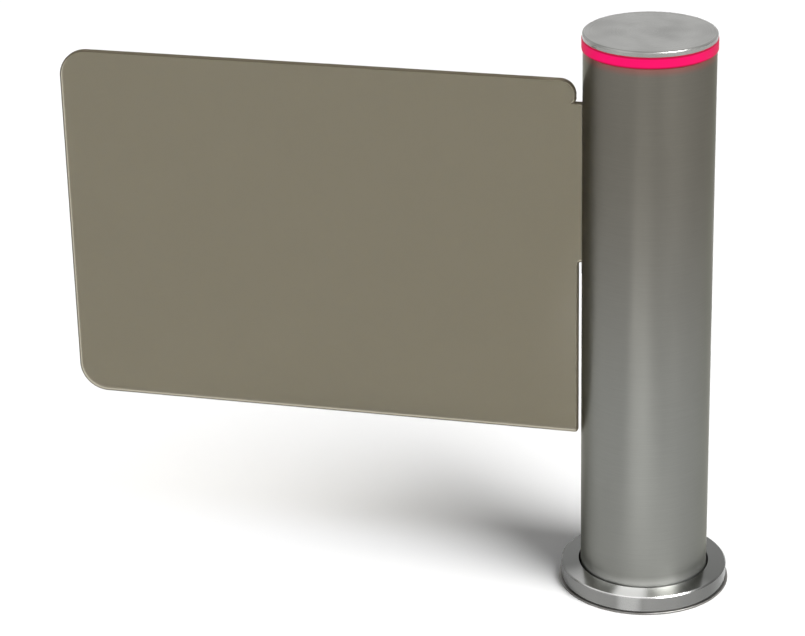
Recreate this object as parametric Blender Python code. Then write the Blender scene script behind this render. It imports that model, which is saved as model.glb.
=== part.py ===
"""Swing barrier gate: a turning post tube with a clear wing, on a fixed mast, base and drive.

Metres, +Z up. The origin is on the floor, on the axis of the post. At rest the wing lies along -X.
"""

import math

import bmesh
import bpy
from mathutils import Matrix, Vector

# Clearances and cuts shared by all pieces
FIT_GAP = 0.0003
RUNNING_GAP = 0.0008
CUT_OVERRUN = 0.004
EDGE_BREAK = 0.0006

# Numbers of sides of round pieces
SKIN_SIDES = 48
CORE_SIDES = 32
RACE_SIDES = 32
DRUM_SIDES = 24
SMALL_SIDES = 16
BOLT_SIDES = 8
CORNER_STEPS = 4

# Post tube
TUBE_RADIUS = 0.10955
TUBE_WALL = 0.003
TUBE_BOTTOM_HEIGHT = 0.020
TUBE_TOP_HEIGHT = 0.9659

# Base plate
PLATE_RIM_REACH = 0.0036
PLATE_RIM_THICKNESS = 0.0032
PLATE_THICKNESS = 0.012
ANCHOR_TUBE_GAP = 0.01845
ANCHOR_HOLE_RADIUS = 0.007
ANCHOR_COUNT = 4
CABLE_HOLE_BORE_GAP = 0.003
CABLE_HOLE_RADIUS = 0.009
GROMMET_WALL = 0.0025
GROMMET_LIP = 0.0015

# Base cover ring
COVER_WIDTH = 0.03405
COVER_SHOULDER_HEIGHT = 0.0292
COVER_SHOULDER_BEVEL = 0.0024
COVER_TOP_RISE = 0.0024
COVER_WALL = 0.002
COVER_RUNNING_GAP = 0.003
COVER_COLLAR_DEPTH = 0.006

# Mast
MAST_WALL = 0.0053
MAST_FOOT_WIDTH = 0.0247
MAST_FOOT_THICKNESS = 0.012
MAST_SHOULDER_WIDTH = 0.0033
MAST_SHOULDER_HEIGHT = 0.048
MAST_TOP_DROP = 0.0179
MAST_WELD_SIZE = 0.005
MAST_BOLT_SET_BACK = 0.010
MAST_BOLT_COUNT = 4
MAST_BOLT_DEPTH = 0.009
MAST_WINDOW_RADIUS = 0.008

# Bearings, the same size at both ends of the mast
BEARING_SECTION = 0.0099
BEARING_WIDTH = 0.010
RACE_THICKNESS = 0.0034
BALL_COUNT = 10
BALL_GROOVE_DEPTH = 0.0009
CAGE_THICKNESS = 0.0012
CAGE_WIDTH = 0.003
UPPER_BEARING_DROP = 0.018

# Hubs that carry the post tube on the bearings
HUB_WALL = 0.0095
HUB_DISC_THICKNESS = 0.006
HUB_SKIRT = 0.004
HUB_LIP_THICKNESS = 0.0037
HUB_LIP_WIDTH = 0.004

# Gear pair
GEAR_HUB_REACH = 0.003
GEAR_TEETH = 60
PINION_TEETH = 15
GEAR_WIDTH = 0.012
GEAR_BACKLASH = 0.0002
GEAR_ROOT_GAP = 0.0005
PRESSURE_ANGLE = math.radians(20.0)
FLANK_STEPS = 2

# Screws: radius of the shank; heads follow it by these shares
M5_RADIUS = 0.0025
M8_RADIUS = 0.004
HEAD_RADIUS_SHARE = 1.65
HEAD_HEIGHT_SHARE = 1.6
SOCKET_RADIUS_SHARE = 0.85
SOCKET_DEPTH_SHARE = 0.9
SCREW_HOLE_GAP = 0.0003
GEAR_SCREW_SET_BACK = 0.0045
GEAR_SCREW_COUNT = 3
GEAR_SCREW_DEPTH = 0.010

# Slot of the tube, past the ends of the tongue, and its trim
SLOT_BOTTOM_GAP = 0.019
SLOT_TOP_GAP = 0.0035
TRIM_THICKNESS = 0.0015
TRIM_STAND_OUT = 0.0012
TRIM_STAND_IN = 0.0012

# Wing panel
PANEL_THICKNESS = 0.010
PANEL_WIDTH = 0.9098
PANEL_HEIGHT = 0.6405
PANEL_TOP_DROP = 0.0589
PANEL_TUBE_GAP = 0.00695
PANEL_UPPER_SET_BACK = 0.0051
PANEL_OUTER_CORNER = 0.050
PANEL_UPPER_INNER_CORNER = 0.027
PANEL_LOWER_INNER_CORNER = 0.006
PANEL_NOTCH = 0.003
TONGUE_HEIGHT = 0.2835
TONGUE_TOP_DROP = 0.0395
TONGUE_DEPTH = 0.05655
TONGUE_ROOT_FILLET = 0.004

# Clamp that holds the tongue
PAD_THICKNESS = 0.0016
CHEEK_THICKNESS = 0.008
CHEEK_FOOT_WIDTH = 0.026
CHEEK_FOOT_THICKNESS = 0.008
CHEEK_END_MARGIN = 0.005
CHEEK_INSET = 0.002
CLAMP_BOLT_COUNT = 3
BUSH_WALL = 0.0015

# End stops
STOP_PIN_FOOT_GAP = 0.022
STOP_PIN_RADIUS = 0.006
STOP_PIN_PLATE_GAP = 0.0063
STOP_BLOCK_LENGTH = 0.020
STOP_BLOCK_WIDTH = 0.016
STOP_BLOCK_HUB_GAP = 0.006
BUFFER_RADIUS = 0.006
BUFFER_THICKNESS = 0.006

# Swing of the wing, each way from closed
SWING_ANGLE = math.radians(90.0)

# Drive
BRACKET_THICKNESS = 0.008
SCREW_HEAD_GAP = 0.0015
BRACKET_RIM = 0.010
BRACKET_SHAFT_HOLE_RADIUS = 0.011
DRIVE_TUBE_GAP = 0.00555
GEARBOX_RADIUS = 0.026
GEARBOX_LENGTH = 0.048
GEARBOX_SCREW_CIRCLE_RADIUS = 0.020
GEARBOX_SCREW_COUNT = 3
GEARBOX_SCREW_DEPTH = 0.009
MOTOR_RADIUS = 0.025
MOTOR_LENGTH = 0.095
BRAKE_RADIUS = 0.0243
BRAKE_LENGTH = 0.026
BRAKE_COVER_RADIUS = 0.021
BRAKE_COVER_LENGTH = 0.022
DRIVE_BEVEL = 0.0015
SHAFT_RADIUS = 0.006
SHAFT_TAIL = 0.0015
SHAFT_ENTRY = 0.010

# Position sensor
VANE_GEAR_GAP = 0.020
VANE_THICKNESS = 0.0015
VANE_WIDTH = 0.014
VANE_FOOT_LENGTH = 0.012
SENSOR_SLOT_WIDTH = 0.005
SENSOR_WALL = 0.004
SENSOR_WIDTH = 0.014
SENSOR_HEIGHT = 0.014
SENSOR_BACK = 0.005
VANE_ENTRY = 0.005

# Control box on the mast
BOX_BRAKE_GAP = 0.0454
BOX_HEIGHT = 0.150
BOX_WIDTH = 0.084
BOX_DEPTH = 0.038
BOX_WALL = 0.002
BOX_MAST_GAP = 0.0095
LID_THICKNESS = 0.002
BOX_PLATE_THICKNESS = 0.0065
BOX_PLATE_WIDTH = 0.040
BOX_PLATE_MARGIN = 0.017
BAND_THICKNESS = 0.004
BAND_WIDTH = 0.014
BOARD_THICKNESS = 0.0016
BOARD_MARGIN = 0.006
BOARD_STAND_OFF = 0.008
STAND_OFF_RADIUS = 0.003
STAND_OFF_INSET = 0.006
LAMP_CABLE_RADIUS = 0.0025
LAMP_CABLE_BEND = 0.015
LAMP_CABLE_HOLE_GAP = 0.0015
LAMP_CABLE_DROP = 0.030
MOTOR_CABLE_RADIUS = 0.003

# Electronic components on the board, placed by shares of the board's half width and half height
RELAY_WIDTH = 0.016
RELAY_HEIGHT = 0.020
RELAY_DEPTH = 0.014
CHIP_WIDTH = 0.014
CHIP_DEPTH = 0.002
TERMINAL_WIDTH = 0.050
TERMINAL_HEIGHT = 0.010
TERMINAL_DEPTH = 0.012
RELAY_PLACE_SHARES = ((-0.55, 0.62), (0.0, 0.62), (0.55, 0.62))
CHIP_PLACE_SHARES = ((-0.45, 0.05), (0.35, -0.1))
TERMINAL_PLACE_SHARES = ((0.0, -0.72),)

# Top plate, lamp parts, light ring and cap
TOP_PLATE_THICKNESS = 0.004
TOP_PLUG_LENGTH = 0.018
TOP_RIM_WIDTH = 0.004
TOP_CABLE_HOLE_RADIUS = 0.010
LIGHT_RING_STAND_OUT = 0.00215
LIGHT_RING_WIDTH = 0.0107
LIGHT_RING_HEIGHT = 0.0216
LIGHT_RING_ROUND = 0.0016
CARRIER_THICKNESS = 0.003
STRIP_THICKNESS = 0.001
STRIP_HEIGHT = 0.012
STRIP_CARRIER_GAP = 0.0003
LAMP_COUNT = 12
LAMP_SIZE = 0.004
LAMP_DEPTH = 0.0011
LAMP_AIR_GAP = 0.0018
CAP_SET_BACK = 0.0022
CAP_EDGE_ROUND = 0.0055
CAP_RISE = 0.0079
CAP_WALL = 0.003
CAP_SKIRT_WALL = 0.003
CAP_SKIRT_DEPTH = 0.013
DRIVER_LENGTH = 0.036
DRIVER_WIDTH = 0.024
DRIVER_THICKNESS = 0.0016
DRIVER_CHIP_SIZE = 0.009
DRIVER_CHIP_DEPTH = 0.004
DRIVER_REACH = 0.048

# Heights and radii that follow from the sizes above
TUBE_INNER_RADIUS = TUBE_RADIUS - TUBE_WALL
COVER_RADIUS = TUBE_RADIUS + COVER_WIDTH
PLATE_RADIUS = COVER_RADIUS + PLATE_RIM_REACH
ANCHOR_CIRCLE_RADIUS = TUBE_RADIUS + ANCHOR_TUBE_GAP
PANEL_TOP_HEIGHT = TUBE_TOP_HEIGHT - PANEL_TOP_DROP
PANEL_BOTTOM_HEIGHT = PANEL_TOP_HEIGHT - PANEL_HEIGHT
PANEL_INNER_REACH = TUBE_RADIUS + PANEL_TUBE_GAP
PANEL_UPPER_INNER_REACH = PANEL_INNER_REACH + PANEL_UPPER_SET_BACK
PANEL_OUTER_REACH = PANEL_INNER_REACH + PANEL_WIDTH
TONGUE_TOP_HEIGHT = PANEL_TOP_HEIGHT - TONGUE_TOP_DROP
TONGUE_BOTTOM_HEIGHT = TONGUE_TOP_HEIGHT - TONGUE_HEIGHT
TONGUE_END_REACH = TUBE_RADIUS - TONGUE_DEPTH
SLOT_BOTTOM_HEIGHT = TONGUE_BOTTOM_HEIGHT - SLOT_BOTTOM_GAP
SLOT_TOP_HEIGHT = TONGUE_TOP_HEIGHT + SLOT_TOP_GAP
MAST_TOP_HEIGHT = TUBE_TOP_HEIGHT - MAST_TOP_DROP
UPPER_BEARING_HEIGHT = MAST_TOP_HEIGHT - UPPER_BEARING_DROP
DRIVE_REACH = TUBE_INNER_RADIUS - DRIVE_TUBE_GAP - GEARBOX_RADIUS
GEAR_MODULE = 2 * DRIVE_REACH / (GEAR_TEETH + PINION_TEETH)
GEAR_PITCH_RADIUS = GEAR_MODULE * GEAR_TEETH / 2
HUB_RADIUS = GEAR_PITCH_RADIUS - GEAR_HUB_REACH
BEARING_OUTER_RADIUS = HUB_RADIUS - HUB_WALL
INNER_RACE_RADIUS = BEARING_OUTER_RADIUS - BEARING_SECTION
MAST_RADIUS = INNER_RACE_RADIUS - FIT_GAP
MAST_FOOT_HEIGHT = PLATE_THICKNESS + FIT_GAP
MAST_FOOT_RADIUS = MAST_RADIUS + MAST_FOOT_WIDTH
MAST_SHOULDER_RADIUS = MAST_RADIUS + MAST_SHOULDER_WIDTH
MAST_BORE_RADIUS = MAST_RADIUS - MAST_WALL
MAST_BOLT_CIRCLE_RADIUS = MAST_FOOT_RADIUS - MAST_BOLT_SET_BACK
CABLE_HOLE_OFFSET = MAST_BORE_RADIUS - CABLE_HOLE_RADIUS - CABLE_HOLE_BORE_GAP
HUB_LIP_RADIUS = BEARING_OUTER_RADIUS - HUB_LIP_WIDTH
GEAR_SCREW_CIRCLE_RADIUS = HUB_RADIUS - GEAR_SCREW_SET_BACK
STOP_PIN_REACH = MAST_FOOT_RADIUS + STOP_PIN_FOOT_GAP
RACE_SPACE = BEARING_OUTER_RADIUS - INNER_RACE_RADIUS - 2 * RACE_THICKNESS
BALL_RADIUS = RACE_SPACE / 2 + BALL_GROOVE_DEPTH - FIT_GAP
LOWER_BEARING_HEIGHT = MAST_SHOULDER_HEIGHT + FIT_GAP
LOWER_HUB_BOTTOM = LOWER_BEARING_HEIGHT - HUB_SKIRT
LOWER_HUB_TOP = LOWER_BEARING_HEIGHT + BEARING_WIDTH + FIT_GAP + HUB_LIP_THICKNESS
STOP_PIN_BOTTOM = PLATE_THICKNESS + STOP_PIN_PLATE_GAP
STOP_BLOCK_TOP = LOWER_HUB_BOTTOM - STOP_BLOCK_HUB_GAP
UPPER_HUB_BOTTOM = UPPER_BEARING_HEIGHT - FIT_GAP - HUB_LIP_THICKNESS
GEAR_HEIGHT = LOWER_HUB_TOP + FIT_GAP
GEAR_TOP = GEAR_HEIGHT + GEAR_WIDTH
VANE_REACH = GEAR_PITCH_RADIUS + GEAR_MODULE + VANE_GEAR_GAP
GEAR_SCREW_TOP = GEAR_TOP + FIT_GAP + M5_RADIUS * HEAD_HEIGHT_SHARE
BRACKET_HEIGHT = GEAR_SCREW_TOP + SCREW_HEAD_GAP + M5_RADIUS * HEAD_HEIGHT_SHARE + FIT_GAP
BRACKET_TOP = BRACKET_HEIGHT + BRACKET_THICKNESS
GEARBOX_HEIGHT = BRACKET_TOP + FIT_GAP
MOTOR_HEIGHT = GEARBOX_HEIGHT + GEARBOX_LENGTH + FIT_GAP
BRAKE_HEIGHT = MOTOR_HEIGHT + MOTOR_LENGTH + FIT_GAP
BRAKE_TOP = BRAKE_HEIGHT + BRAKE_LENGTH + BRAKE_COVER_LENGTH
TRIM_INNER_HALF = PANEL_THICKNESS / 2 + FIT_GAP
TRIM_OUTER_HALF = TRIM_INNER_HALF + TRIM_THICKNESS
SLOT_HALF = TRIM_OUTER_HALF + FIT_GAP
PAD_FACE = PANEL_THICKNESS / 2 + FIT_GAP
CHEEK_FACE = PAD_FACE + PAD_THICKNESS + FIT_GAP
CHEEK_BACK = CHEEK_FACE + CHEEK_THICKNESS
CHEEK_FOOT_BACK = CHEEK_BACK + CHEEK_FOOT_WIDTH
CHEEK_WALL_RADIUS = TUBE_INNER_RADIUS - FIT_GAP
CHEEK_FOOT_REACH = math.sqrt(CHEEK_WALL_RADIUS ** 2 - CHEEK_FOOT_BACK ** 2) - CHEEK_FOOT_THICKNESS
CHEEK_END_REACH = TONGUE_END_REACH + CHEEK_END_MARGIN
CLAMP_BOLT_REACH = (CHEEK_END_REACH + CHEEK_FOOT_REACH) / 2
CHEEK_BOTTOM_HEIGHT = TONGUE_BOTTOM_HEIGHT + CHEEK_INSET
CHEEK_TOP_HEIGHT = TONGUE_TOP_HEIGHT - CHEEK_INSET
BOX_BACK_REACH = MAST_RADIUS + BOX_MAST_GAP
BOX_FRONT_REACH = BOX_BACK_REACH + BOX_DEPTH
BOX_BOTTOM_HEIGHT = BRAKE_TOP + BOX_BRAKE_GAP
BOX_TOP_HEIGHT = BOX_BOTTOM_HEIGHT + BOX_HEIGHT
BOX_MIDDLE_HEIGHT = BOX_BOTTOM_HEIGHT + BOX_HEIGHT / 2
BOX_PLATE_HEIGHT = BOX_HEIGHT - 2 * BOX_PLATE_MARGIN
BOARD_REACH = BOX_BACK_REACH + BOX_WALL + BOARD_STAND_OFF
LAMP_CABLE_ENTRY_HEIGHT = BOX_TOP_HEIGHT - LAMP_CABLE_DROP
TOP_PLATE_HEIGHT = MAST_TOP_HEIGHT + FIT_GAP
TOP_PLATE_TOP = TOP_PLATE_HEIGHT + TOP_PLATE_THICKNESS
LIGHT_RING_HEIGHT_ABOVE_FLOOR = TUBE_TOP_HEIGHT + RUNNING_GAP
LIGHT_RING_TOP = LIGHT_RING_HEIGHT_ABOVE_FLOOR + LIGHT_RING_HEIGHT
LIGHT_RING_RADIUS = TUBE_RADIUS + LIGHT_RING_STAND_OUT
LIGHT_RING_INNER_RADIUS = LIGHT_RING_RADIUS - LIGHT_RING_WIDTH
CAP_RADIUS = LIGHT_RING_RADIUS - CAP_SET_BACK
TOP_PLATE_RADIUS = TUBE_INNER_RADIUS - RUNNING_GAP
LAMP_FACE_RADIUS = LIGHT_RING_INNER_RADIUS - LAMP_AIR_GAP
STRIP_RADIUS = LAMP_FACE_RADIUS - LAMP_DEPTH
CARRIER_RADIUS = STRIP_RADIUS - STRIP_THICKNESS - STRIP_CARRIER_GAP
CARRIER_INNER_RADIUS = CARRIER_RADIUS - CARRIER_THICKNESS
CAP_BOTTOM = LIGHT_RING_TOP + FIT_GAP
CAP_TOP = CAP_BOTTOM + CAP_RISE
CARRIER_TOP = CAP_TOP - CAP_WALL - FIT_GAP


def clear_scene():
    """Remove whatever the scene holds, so that only this object is left."""
    for item in list(bpy.data.objects):
        bpy.data.objects.remove(item, do_unlink=True)


def finish_material(name, colour, roughness, metallic, alpha=1.0):
    """Return a Principled BSDF material with one colour, roughness and metallic value."""
    material = bpy.data.materials.get(name)
    if material is not None:
        return material
    material = bpy.data.materials.new(name)
    material.use_nodes = True
    shader = material.node_tree.nodes["Principled BSDF"]
    shader.inputs["Base Color"].default_value = (*colour, 1.0)
    shader.inputs["Roughness"].default_value = roughness
    shader.inputs["Metallic"].default_value = metallic
    shader.inputs["Alpha"].default_value = alpha
    return material


def brushed_steel():
    """Brushed stainless steel of the tube."""
    return finish_material("brushed_steel", (0.42, 0.41, 0.38), 0.38, 1.0)


def polished_steel():
    """Polished stainless steel of the base cover."""
    return finish_material("polished_steel", (0.60, 0.61, 0.60), 0.18, 1.0)


def satin_steel():
    """Fine satin stainless steel of the cap."""
    return finish_material("satin_steel", (0.62, 0.62, 0.60), 0.3, 1.0)


def plain_steel():
    """Zinc-plated structural steel inside the post."""
    return finish_material("plain_steel", (0.48, 0.49, 0.50), 0.45, 1.0)


def bearing_steel():
    """Ground bearing steel."""
    return finish_material("bearing_steel", (0.70, 0.70, 0.71), 0.15, 1.0)


def fastener_steel():
    """Plated screws and bolts."""
    return finish_material("fastener_steel", (0.32, 0.32, 0.33), 0.35, 1.0)


def cast_aluminium():
    """Cast aluminium of the gearbox, hubs and carrier."""
    return finish_material("cast_aluminium", (0.62, 0.63, 0.64), 0.5, 1.0)


def motor_paint():
    """Dark paint of the motor and brake."""
    return finish_material("motor_paint", (0.05, 0.05, 0.055), 0.5, 0.0)


def black_rubber():
    """Black rubber of trims, pads and buffers."""
    return finish_material("black_rubber", (0.02, 0.02, 0.02), 0.8, 0.0)


def white_nylon():
    """Natural nylon of bushes."""
    return finish_material("white_nylon", (0.80, 0.79, 0.74), 0.55, 0.0)


def grey_plastic():
    """Grey moulded plastic of the control box."""
    return finish_material("grey_plastic", (0.35, 0.36, 0.37), 0.6, 0.0)


def board_green():
    """Green lacquer of circuit boards."""
    return finish_material("board_green", (0.03, 0.20, 0.08), 0.45, 0.0)


def bronze_sheet():
    """Bronze-tinted clear sheet of the wing."""
    return finish_material("bronze_sheet", (0.22, 0.19, 0.14), 0.05, 0.0, 0.6)


def red_diffuser():
    """Red translucent plastic of the light ring."""
    return finish_material("red_diffuser", (0.95, 0.02, 0.16), 0.3, 0.0)


def add_object(name, mesh_data, material=None):
    """Link an object for a finished mesh, with its material."""
    item = bpy.data.objects.new(name, mesh_data)
    bpy.context.scene.collection.objects.link(item)
    if material is not None:
        mesh_data.materials.append(material)
    return item


def close_mesh(name, shape, smooth_limit=math.radians(35.0)):
    """Turn a bmesh into mesh data with its faces outwards and round faces shaded smooth."""
    bmesh.ops.recalc_face_normals(shape, faces=shape.faces)
    mesh_data = bpy.data.meshes.new(name)
    shape.to_mesh(mesh_data)
    shape.free()
    mesh_data.shade_smooth()
    mesh_data.set_sharp_from_angle(angle=smooth_limit)
    return mesh_data


def turned_mesh(name, profile, sides, closed_ring=True):
    """Turn a profile of (radius, height) points round Z.

    A closed ring joins the last point to the first. Otherwise both ends of the profile lie on the axis.
    """
    shape = bmesh.new()
    points = [shape.verts.new((radius, 0, height)) for radius, height in profile]
    edges = [shape.edges.new(pair) for pair in zip(points, points[1:])]
    if closed_ring:
        edges.append(shape.edges.new((points[-1], points[0])))
    bmesh.ops.spin(shape, geom=points + edges, cent=(0, 0, 0), axis=(0, 0, 1),
                   dvec=(0, 0, 0), angle=2 * math.pi, steps=sides, use_merge=True)
    bmesh.ops.remove_doubles(shape, verts=shape.verts, dist=FIT_GAP / 100)
    return close_mesh(name, shape)


def turned(name, profile, sides, material, closed_ring=True):
    """A turned piece on the Z axis."""
    return add_object(name, turned_mesh(name, profile, sides, closed_ring), material)


def ring_profile(inner_radius, outer_radius, bottom, top, bevel=0):
    """Profile of a plain ring, with its outer corners bevelled where asked."""
    if bevel:
        return [(inner_radius, bottom), (outer_radius - bevel, bottom), (outer_radius, bottom + bevel),
                (outer_radius, top - bevel), (outer_radius - bevel, top), (inner_radius, top)]
    return [(inner_radius, bottom), (outer_radius, bottom), (outer_radius, top), (inner_radius, top)]


def disc_profile(radius, bottom, top, bevel=0):
    """Profile of a solid disc, from the axis out and back."""
    if bevel:
        return [(0, bottom), (radius - bevel, bottom), (radius, bottom + bevel),
                (radius, top - bevel), (radius - bevel, top), (0, top)]
    return [(0, bottom), (radius, bottom), (radius, top), (0, top)]


def arc_points(centre, radius, start, end, steps):
    """Points of an arc in a plane, both ends included."""
    return [(centre[0] + radius * math.cos(start + (end - start) * step / steps),
             centre[1] + radius * math.sin(start + (end - start) * step / steps))
            for step in range(steps + 1)]


def prism_mesh(name, outline, bottom, top):
    """Extrude an outline of (x, y) points from one height to another."""
    shape = bmesh.new()
    face = shape.faces.new([shape.verts.new((x, y, bottom)) for x, y in outline])
    extruded = bmesh.ops.extrude_face_region(shape, geom=[face])
    moved = [item for item in extruded["geom"] if isinstance(item, bmesh.types.BMVert)]
    bmesh.ops.translate(shape, verts=moved, vec=(0, 0, top - bottom))
    return close_mesh(name, shape)


def prism(name, outline, bottom, top, material):
    """A piece with one outline through its whole height."""
    return add_object(name, prism_mesh(name, outline, bottom, top), material)


def block_mesh(name, low, high):
    """Mesh of a box between two corners."""
    shape = bmesh.new()
    bmesh.ops.create_cube(shape, size=1)
    size = Vector(high) - Vector(low)
    middle = (Vector(high) + Vector(low)) / 2
    bmesh.ops.scale(shape, verts=shape.verts, vec=size)
    bmesh.ops.translate(shape, verts=shape.verts, vec=middle)
    return close_mesh(name, shape)


def block(name, low, high, material=None):
    """A box-shaped piece between two corners."""
    return add_object(name, block_mesh(name, low, high), material)


def rod(name, start, end, radius, sides, material=None):
    """A round bar between two points."""
    start, end = Vector(start), Vector(end)
    along = end - start
    shape = bmesh.new()
    bmesh.ops.create_cone(shape, cap_ends=True, segments=sides, radius1=radius, radius2=radius,
                          depth=along.length)
    turn = along.to_track_quat("Z", "Y").to_matrix().to_4x4()
    bmesh.ops.transform(shape, matrix=Matrix.Translation((start + end) / 2) @ turn, verts=shape.verts)
    return add_object(name, close_mesh(name, shape), material)


def as_cutter(item):
    """Mark an object as a shape that only cuts or guides."""
    item.hide_render = True
    item.display_type = "WIRE"
    return item


def use_boolean(target, cutter, operation):
    """Add a Boolean modifier with a hidden second shape."""
    modifier = target.modifiers.new(cutter.name, "BOOLEAN")
    modifier.operation = operation
    modifier.solver = "EXACT"
    modifier.object = as_cutter(cutter)
    cutter.parent = target.parent
    return target


def cut(target, *cutters):
    """Cut shapes out of a piece."""
    for cutter in cutters:
        use_boolean(target, cutter, "DIFFERENCE")
    return target


def join(target, *additions):
    """Unite shapes with a piece."""
    for addition in additions:
        use_boolean(target, addition, "UNION")
    return target


def angles(count, start=0):
    """Evenly spaced angles round a circle."""
    return [start + 2 * math.pi * index / count for index in range(count)]


def on_circle(radius, angle, height):
    """Point on a circle round the Z axis."""
    return (radius * math.cos(angle), radius * math.sin(angle), height)


def cap_screw_mesh(name, radius, length):
    """Socket-head screw along -Z with the underside of its head at the origin."""
    head_radius = radius * HEAD_RADIUS_SHARE
    head_height = radius * HEAD_HEIGHT_SHARE
    socket_radius = radius * SOCKET_RADIUS_SHARE
    socket_floor = head_height - radius * SOCKET_DEPTH_SHARE
    profile = [(0, -length), (radius, -length), (radius, 0), (head_radius, 0), (head_radius, head_height),
               (socket_radius, head_height), (socket_radius, socket_floor), (0, socket_floor)]
    return turned_mesh(name, profile, BOLT_SIDES, closed_ring=False)


def place_screws(name, radius, length, places, material):
    """Screws that share one mesh, with their heads up, at the given points."""
    mesh_data = cap_screw_mesh(name, radius, length)
    mesh_data.materials.append(material)
    made = []
    for index, place in enumerate(places, start=1):
        screw = add_object(f"{name}_{index}", mesh_data)
        screw.location = place
        made.append(screw)
    return made


def hole_cutters(name, places, radius, bottom, top, sides=SMALL_SIDES):
    """Vertical round cutters at the given points, as one object.

    Beside the axis their corners are turned by half a side, which keeps them off a disc's radial edges.
    """
    shape = bmesh.new()
    for x, y, _ in places:
        turn = Matrix.Rotation(math.pi / sides if x or y else 0, 4, "Z")
        middle = Matrix.Translation((x, y, (bottom + top) / 2)) @ turn
        bmesh.ops.create_cone(shape, cap_ends=True, segments=sides, radius1=radius,
                              radius2=radius, depth=top - bottom, matrix=middle)
    return add_object(name, close_mesh(name, shape))


def moving_frame(name, place=(0, 0, 0)):
    """Empty on a joint's axis, which carries the pieces that move with it."""
    frame = bpy.data.objects.new(name, None)
    frame.location = place
    bpy.context.scene.collection.objects.link(frame)
    return frame


def carry(frame, pieces):
    """Parent pieces to a moving frame and keep them where they are."""
    bpy.context.view_layer.update()
    for piece in pieces:
        piece.parent = frame
        piece.matrix_parent_inverse = frame.matrix_world.inverted()


def anchor_points(height):
    """Centres of the anchor holes."""
    return [on_circle(ANCHOR_CIRCLE_RADIUS, angle, height) for angle in angles(ANCHOR_COUNT, math.pi / 4)]


def mast_bolt_points(height):
    """Centres of the mast foot's bolts."""
    start = math.pi / MAST_BOLT_COUNT
    return [on_circle(MAST_BOLT_CIRCLE_RADIUS, angle, height) for angle in angles(MAST_BOLT_COUNT, start)]


def base_plate():
    """Round plate that stands on the floor, with a thin rim and a thick middle."""
    land_radius = COVER_RADIUS - COVER_WALL - FIT_GAP
    profile = [(0, 0), (PLATE_RADIUS, 0), (PLATE_RADIUS, PLATE_RIM_THICKNESS - EDGE_BREAK),
               (PLATE_RADIUS - EDGE_BREAK, PLATE_RIM_THICKNESS),
               (land_radius, PLATE_RIM_THICKNESS), (land_radius, PLATE_THICKNESS), (0, PLATE_THICKNESS)]
    plate = turned("base_plate", profile, SKIN_SIDES, plain_steel(), closed_ring=False)
    anchors = hole_cutters("anchor_cuts", anchor_points(0), ANCHOR_HOLE_RADIUS,
                           -CUT_OVERRUN, PLATE_THICKNESS + CUT_OVERRUN)
    bolts = hole_cutters("plate_bolt_cuts", mast_bolt_points(0), M8_RADIUS + SCREW_HOLE_GAP,
                         PLATE_THICKNESS - MAST_BOLT_DEPTH - RUNNING_GAP, PLATE_THICKNESS + CUT_OVERRUN)
    cable = hole_cutters("plate_cable_cut", [(CABLE_HOLE_OFFSET, 0, 0)], CABLE_HOLE_RADIUS,
                         -CUT_OVERRUN, PLATE_THICKNESS + CUT_OVERRUN)
    return cut(plate, anchors, bolts, cable)


def cable_grommet():
    """Rubber grommet in the base plate's cable hole."""
    outer = CABLE_HOLE_RADIUS - FIT_GAP
    inner = outer - GROMMET_WALL
    bottom = PLATE_RIM_THICKNESS
    seat = PLATE_THICKNESS + FIT_GAP
    profile = [(inner, bottom), (outer, bottom), (outer, seat), (outer + GROMMET_LIP, seat),
               (outer + GROMMET_LIP, seat + GROMMET_LIP), (inner, seat + GROMMET_LIP)]
    grommet = turned("cable_grommet", profile, SMALL_SIDES, black_rubber())
    grommet.location = (CABLE_HOLE_OFFSET, 0, 0)
    return grommet


def base_cover():
    """Polished ring that hides the base plate's bolts, bevelled at its shoulder."""
    bottom = PLATE_RIM_THICKNESS + FIT_GAP
    shoulder = COVER_SHOULDER_HEIGHT
    bevel = COVER_SHOULDER_BEVEL
    top_edge = shoulder + bevel
    hole_radius = TUBE_RADIUS + COVER_RUNNING_GAP
    crown = top_edge + COVER_TOP_RISE
    inner = COVER_RADIUS - COVER_WALL
    profile = [(COVER_RADIUS - EDGE_BREAK, bottom), (COVER_RADIUS, bottom + EDGE_BREAK),
               (COVER_RADIUS, shoulder), (COVER_RADIUS - bevel, top_edge),
               (hole_radius + EDGE_BREAK, crown), (hole_radius, crown - EDGE_BREAK),
               (hole_radius, crown - COVER_COLLAR_DEPTH),
               (hole_radius + COVER_WALL, crown - COVER_COLLAR_DEPTH),
               (hole_radius + COVER_WALL, crown - COVER_WALL),
               (inner - bevel, top_edge - COVER_WALL), (inner, shoulder - COVER_WALL), (inner, bottom)]
    return turned("base_cover", profile, SKIN_SIDES, polished_steel())


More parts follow.
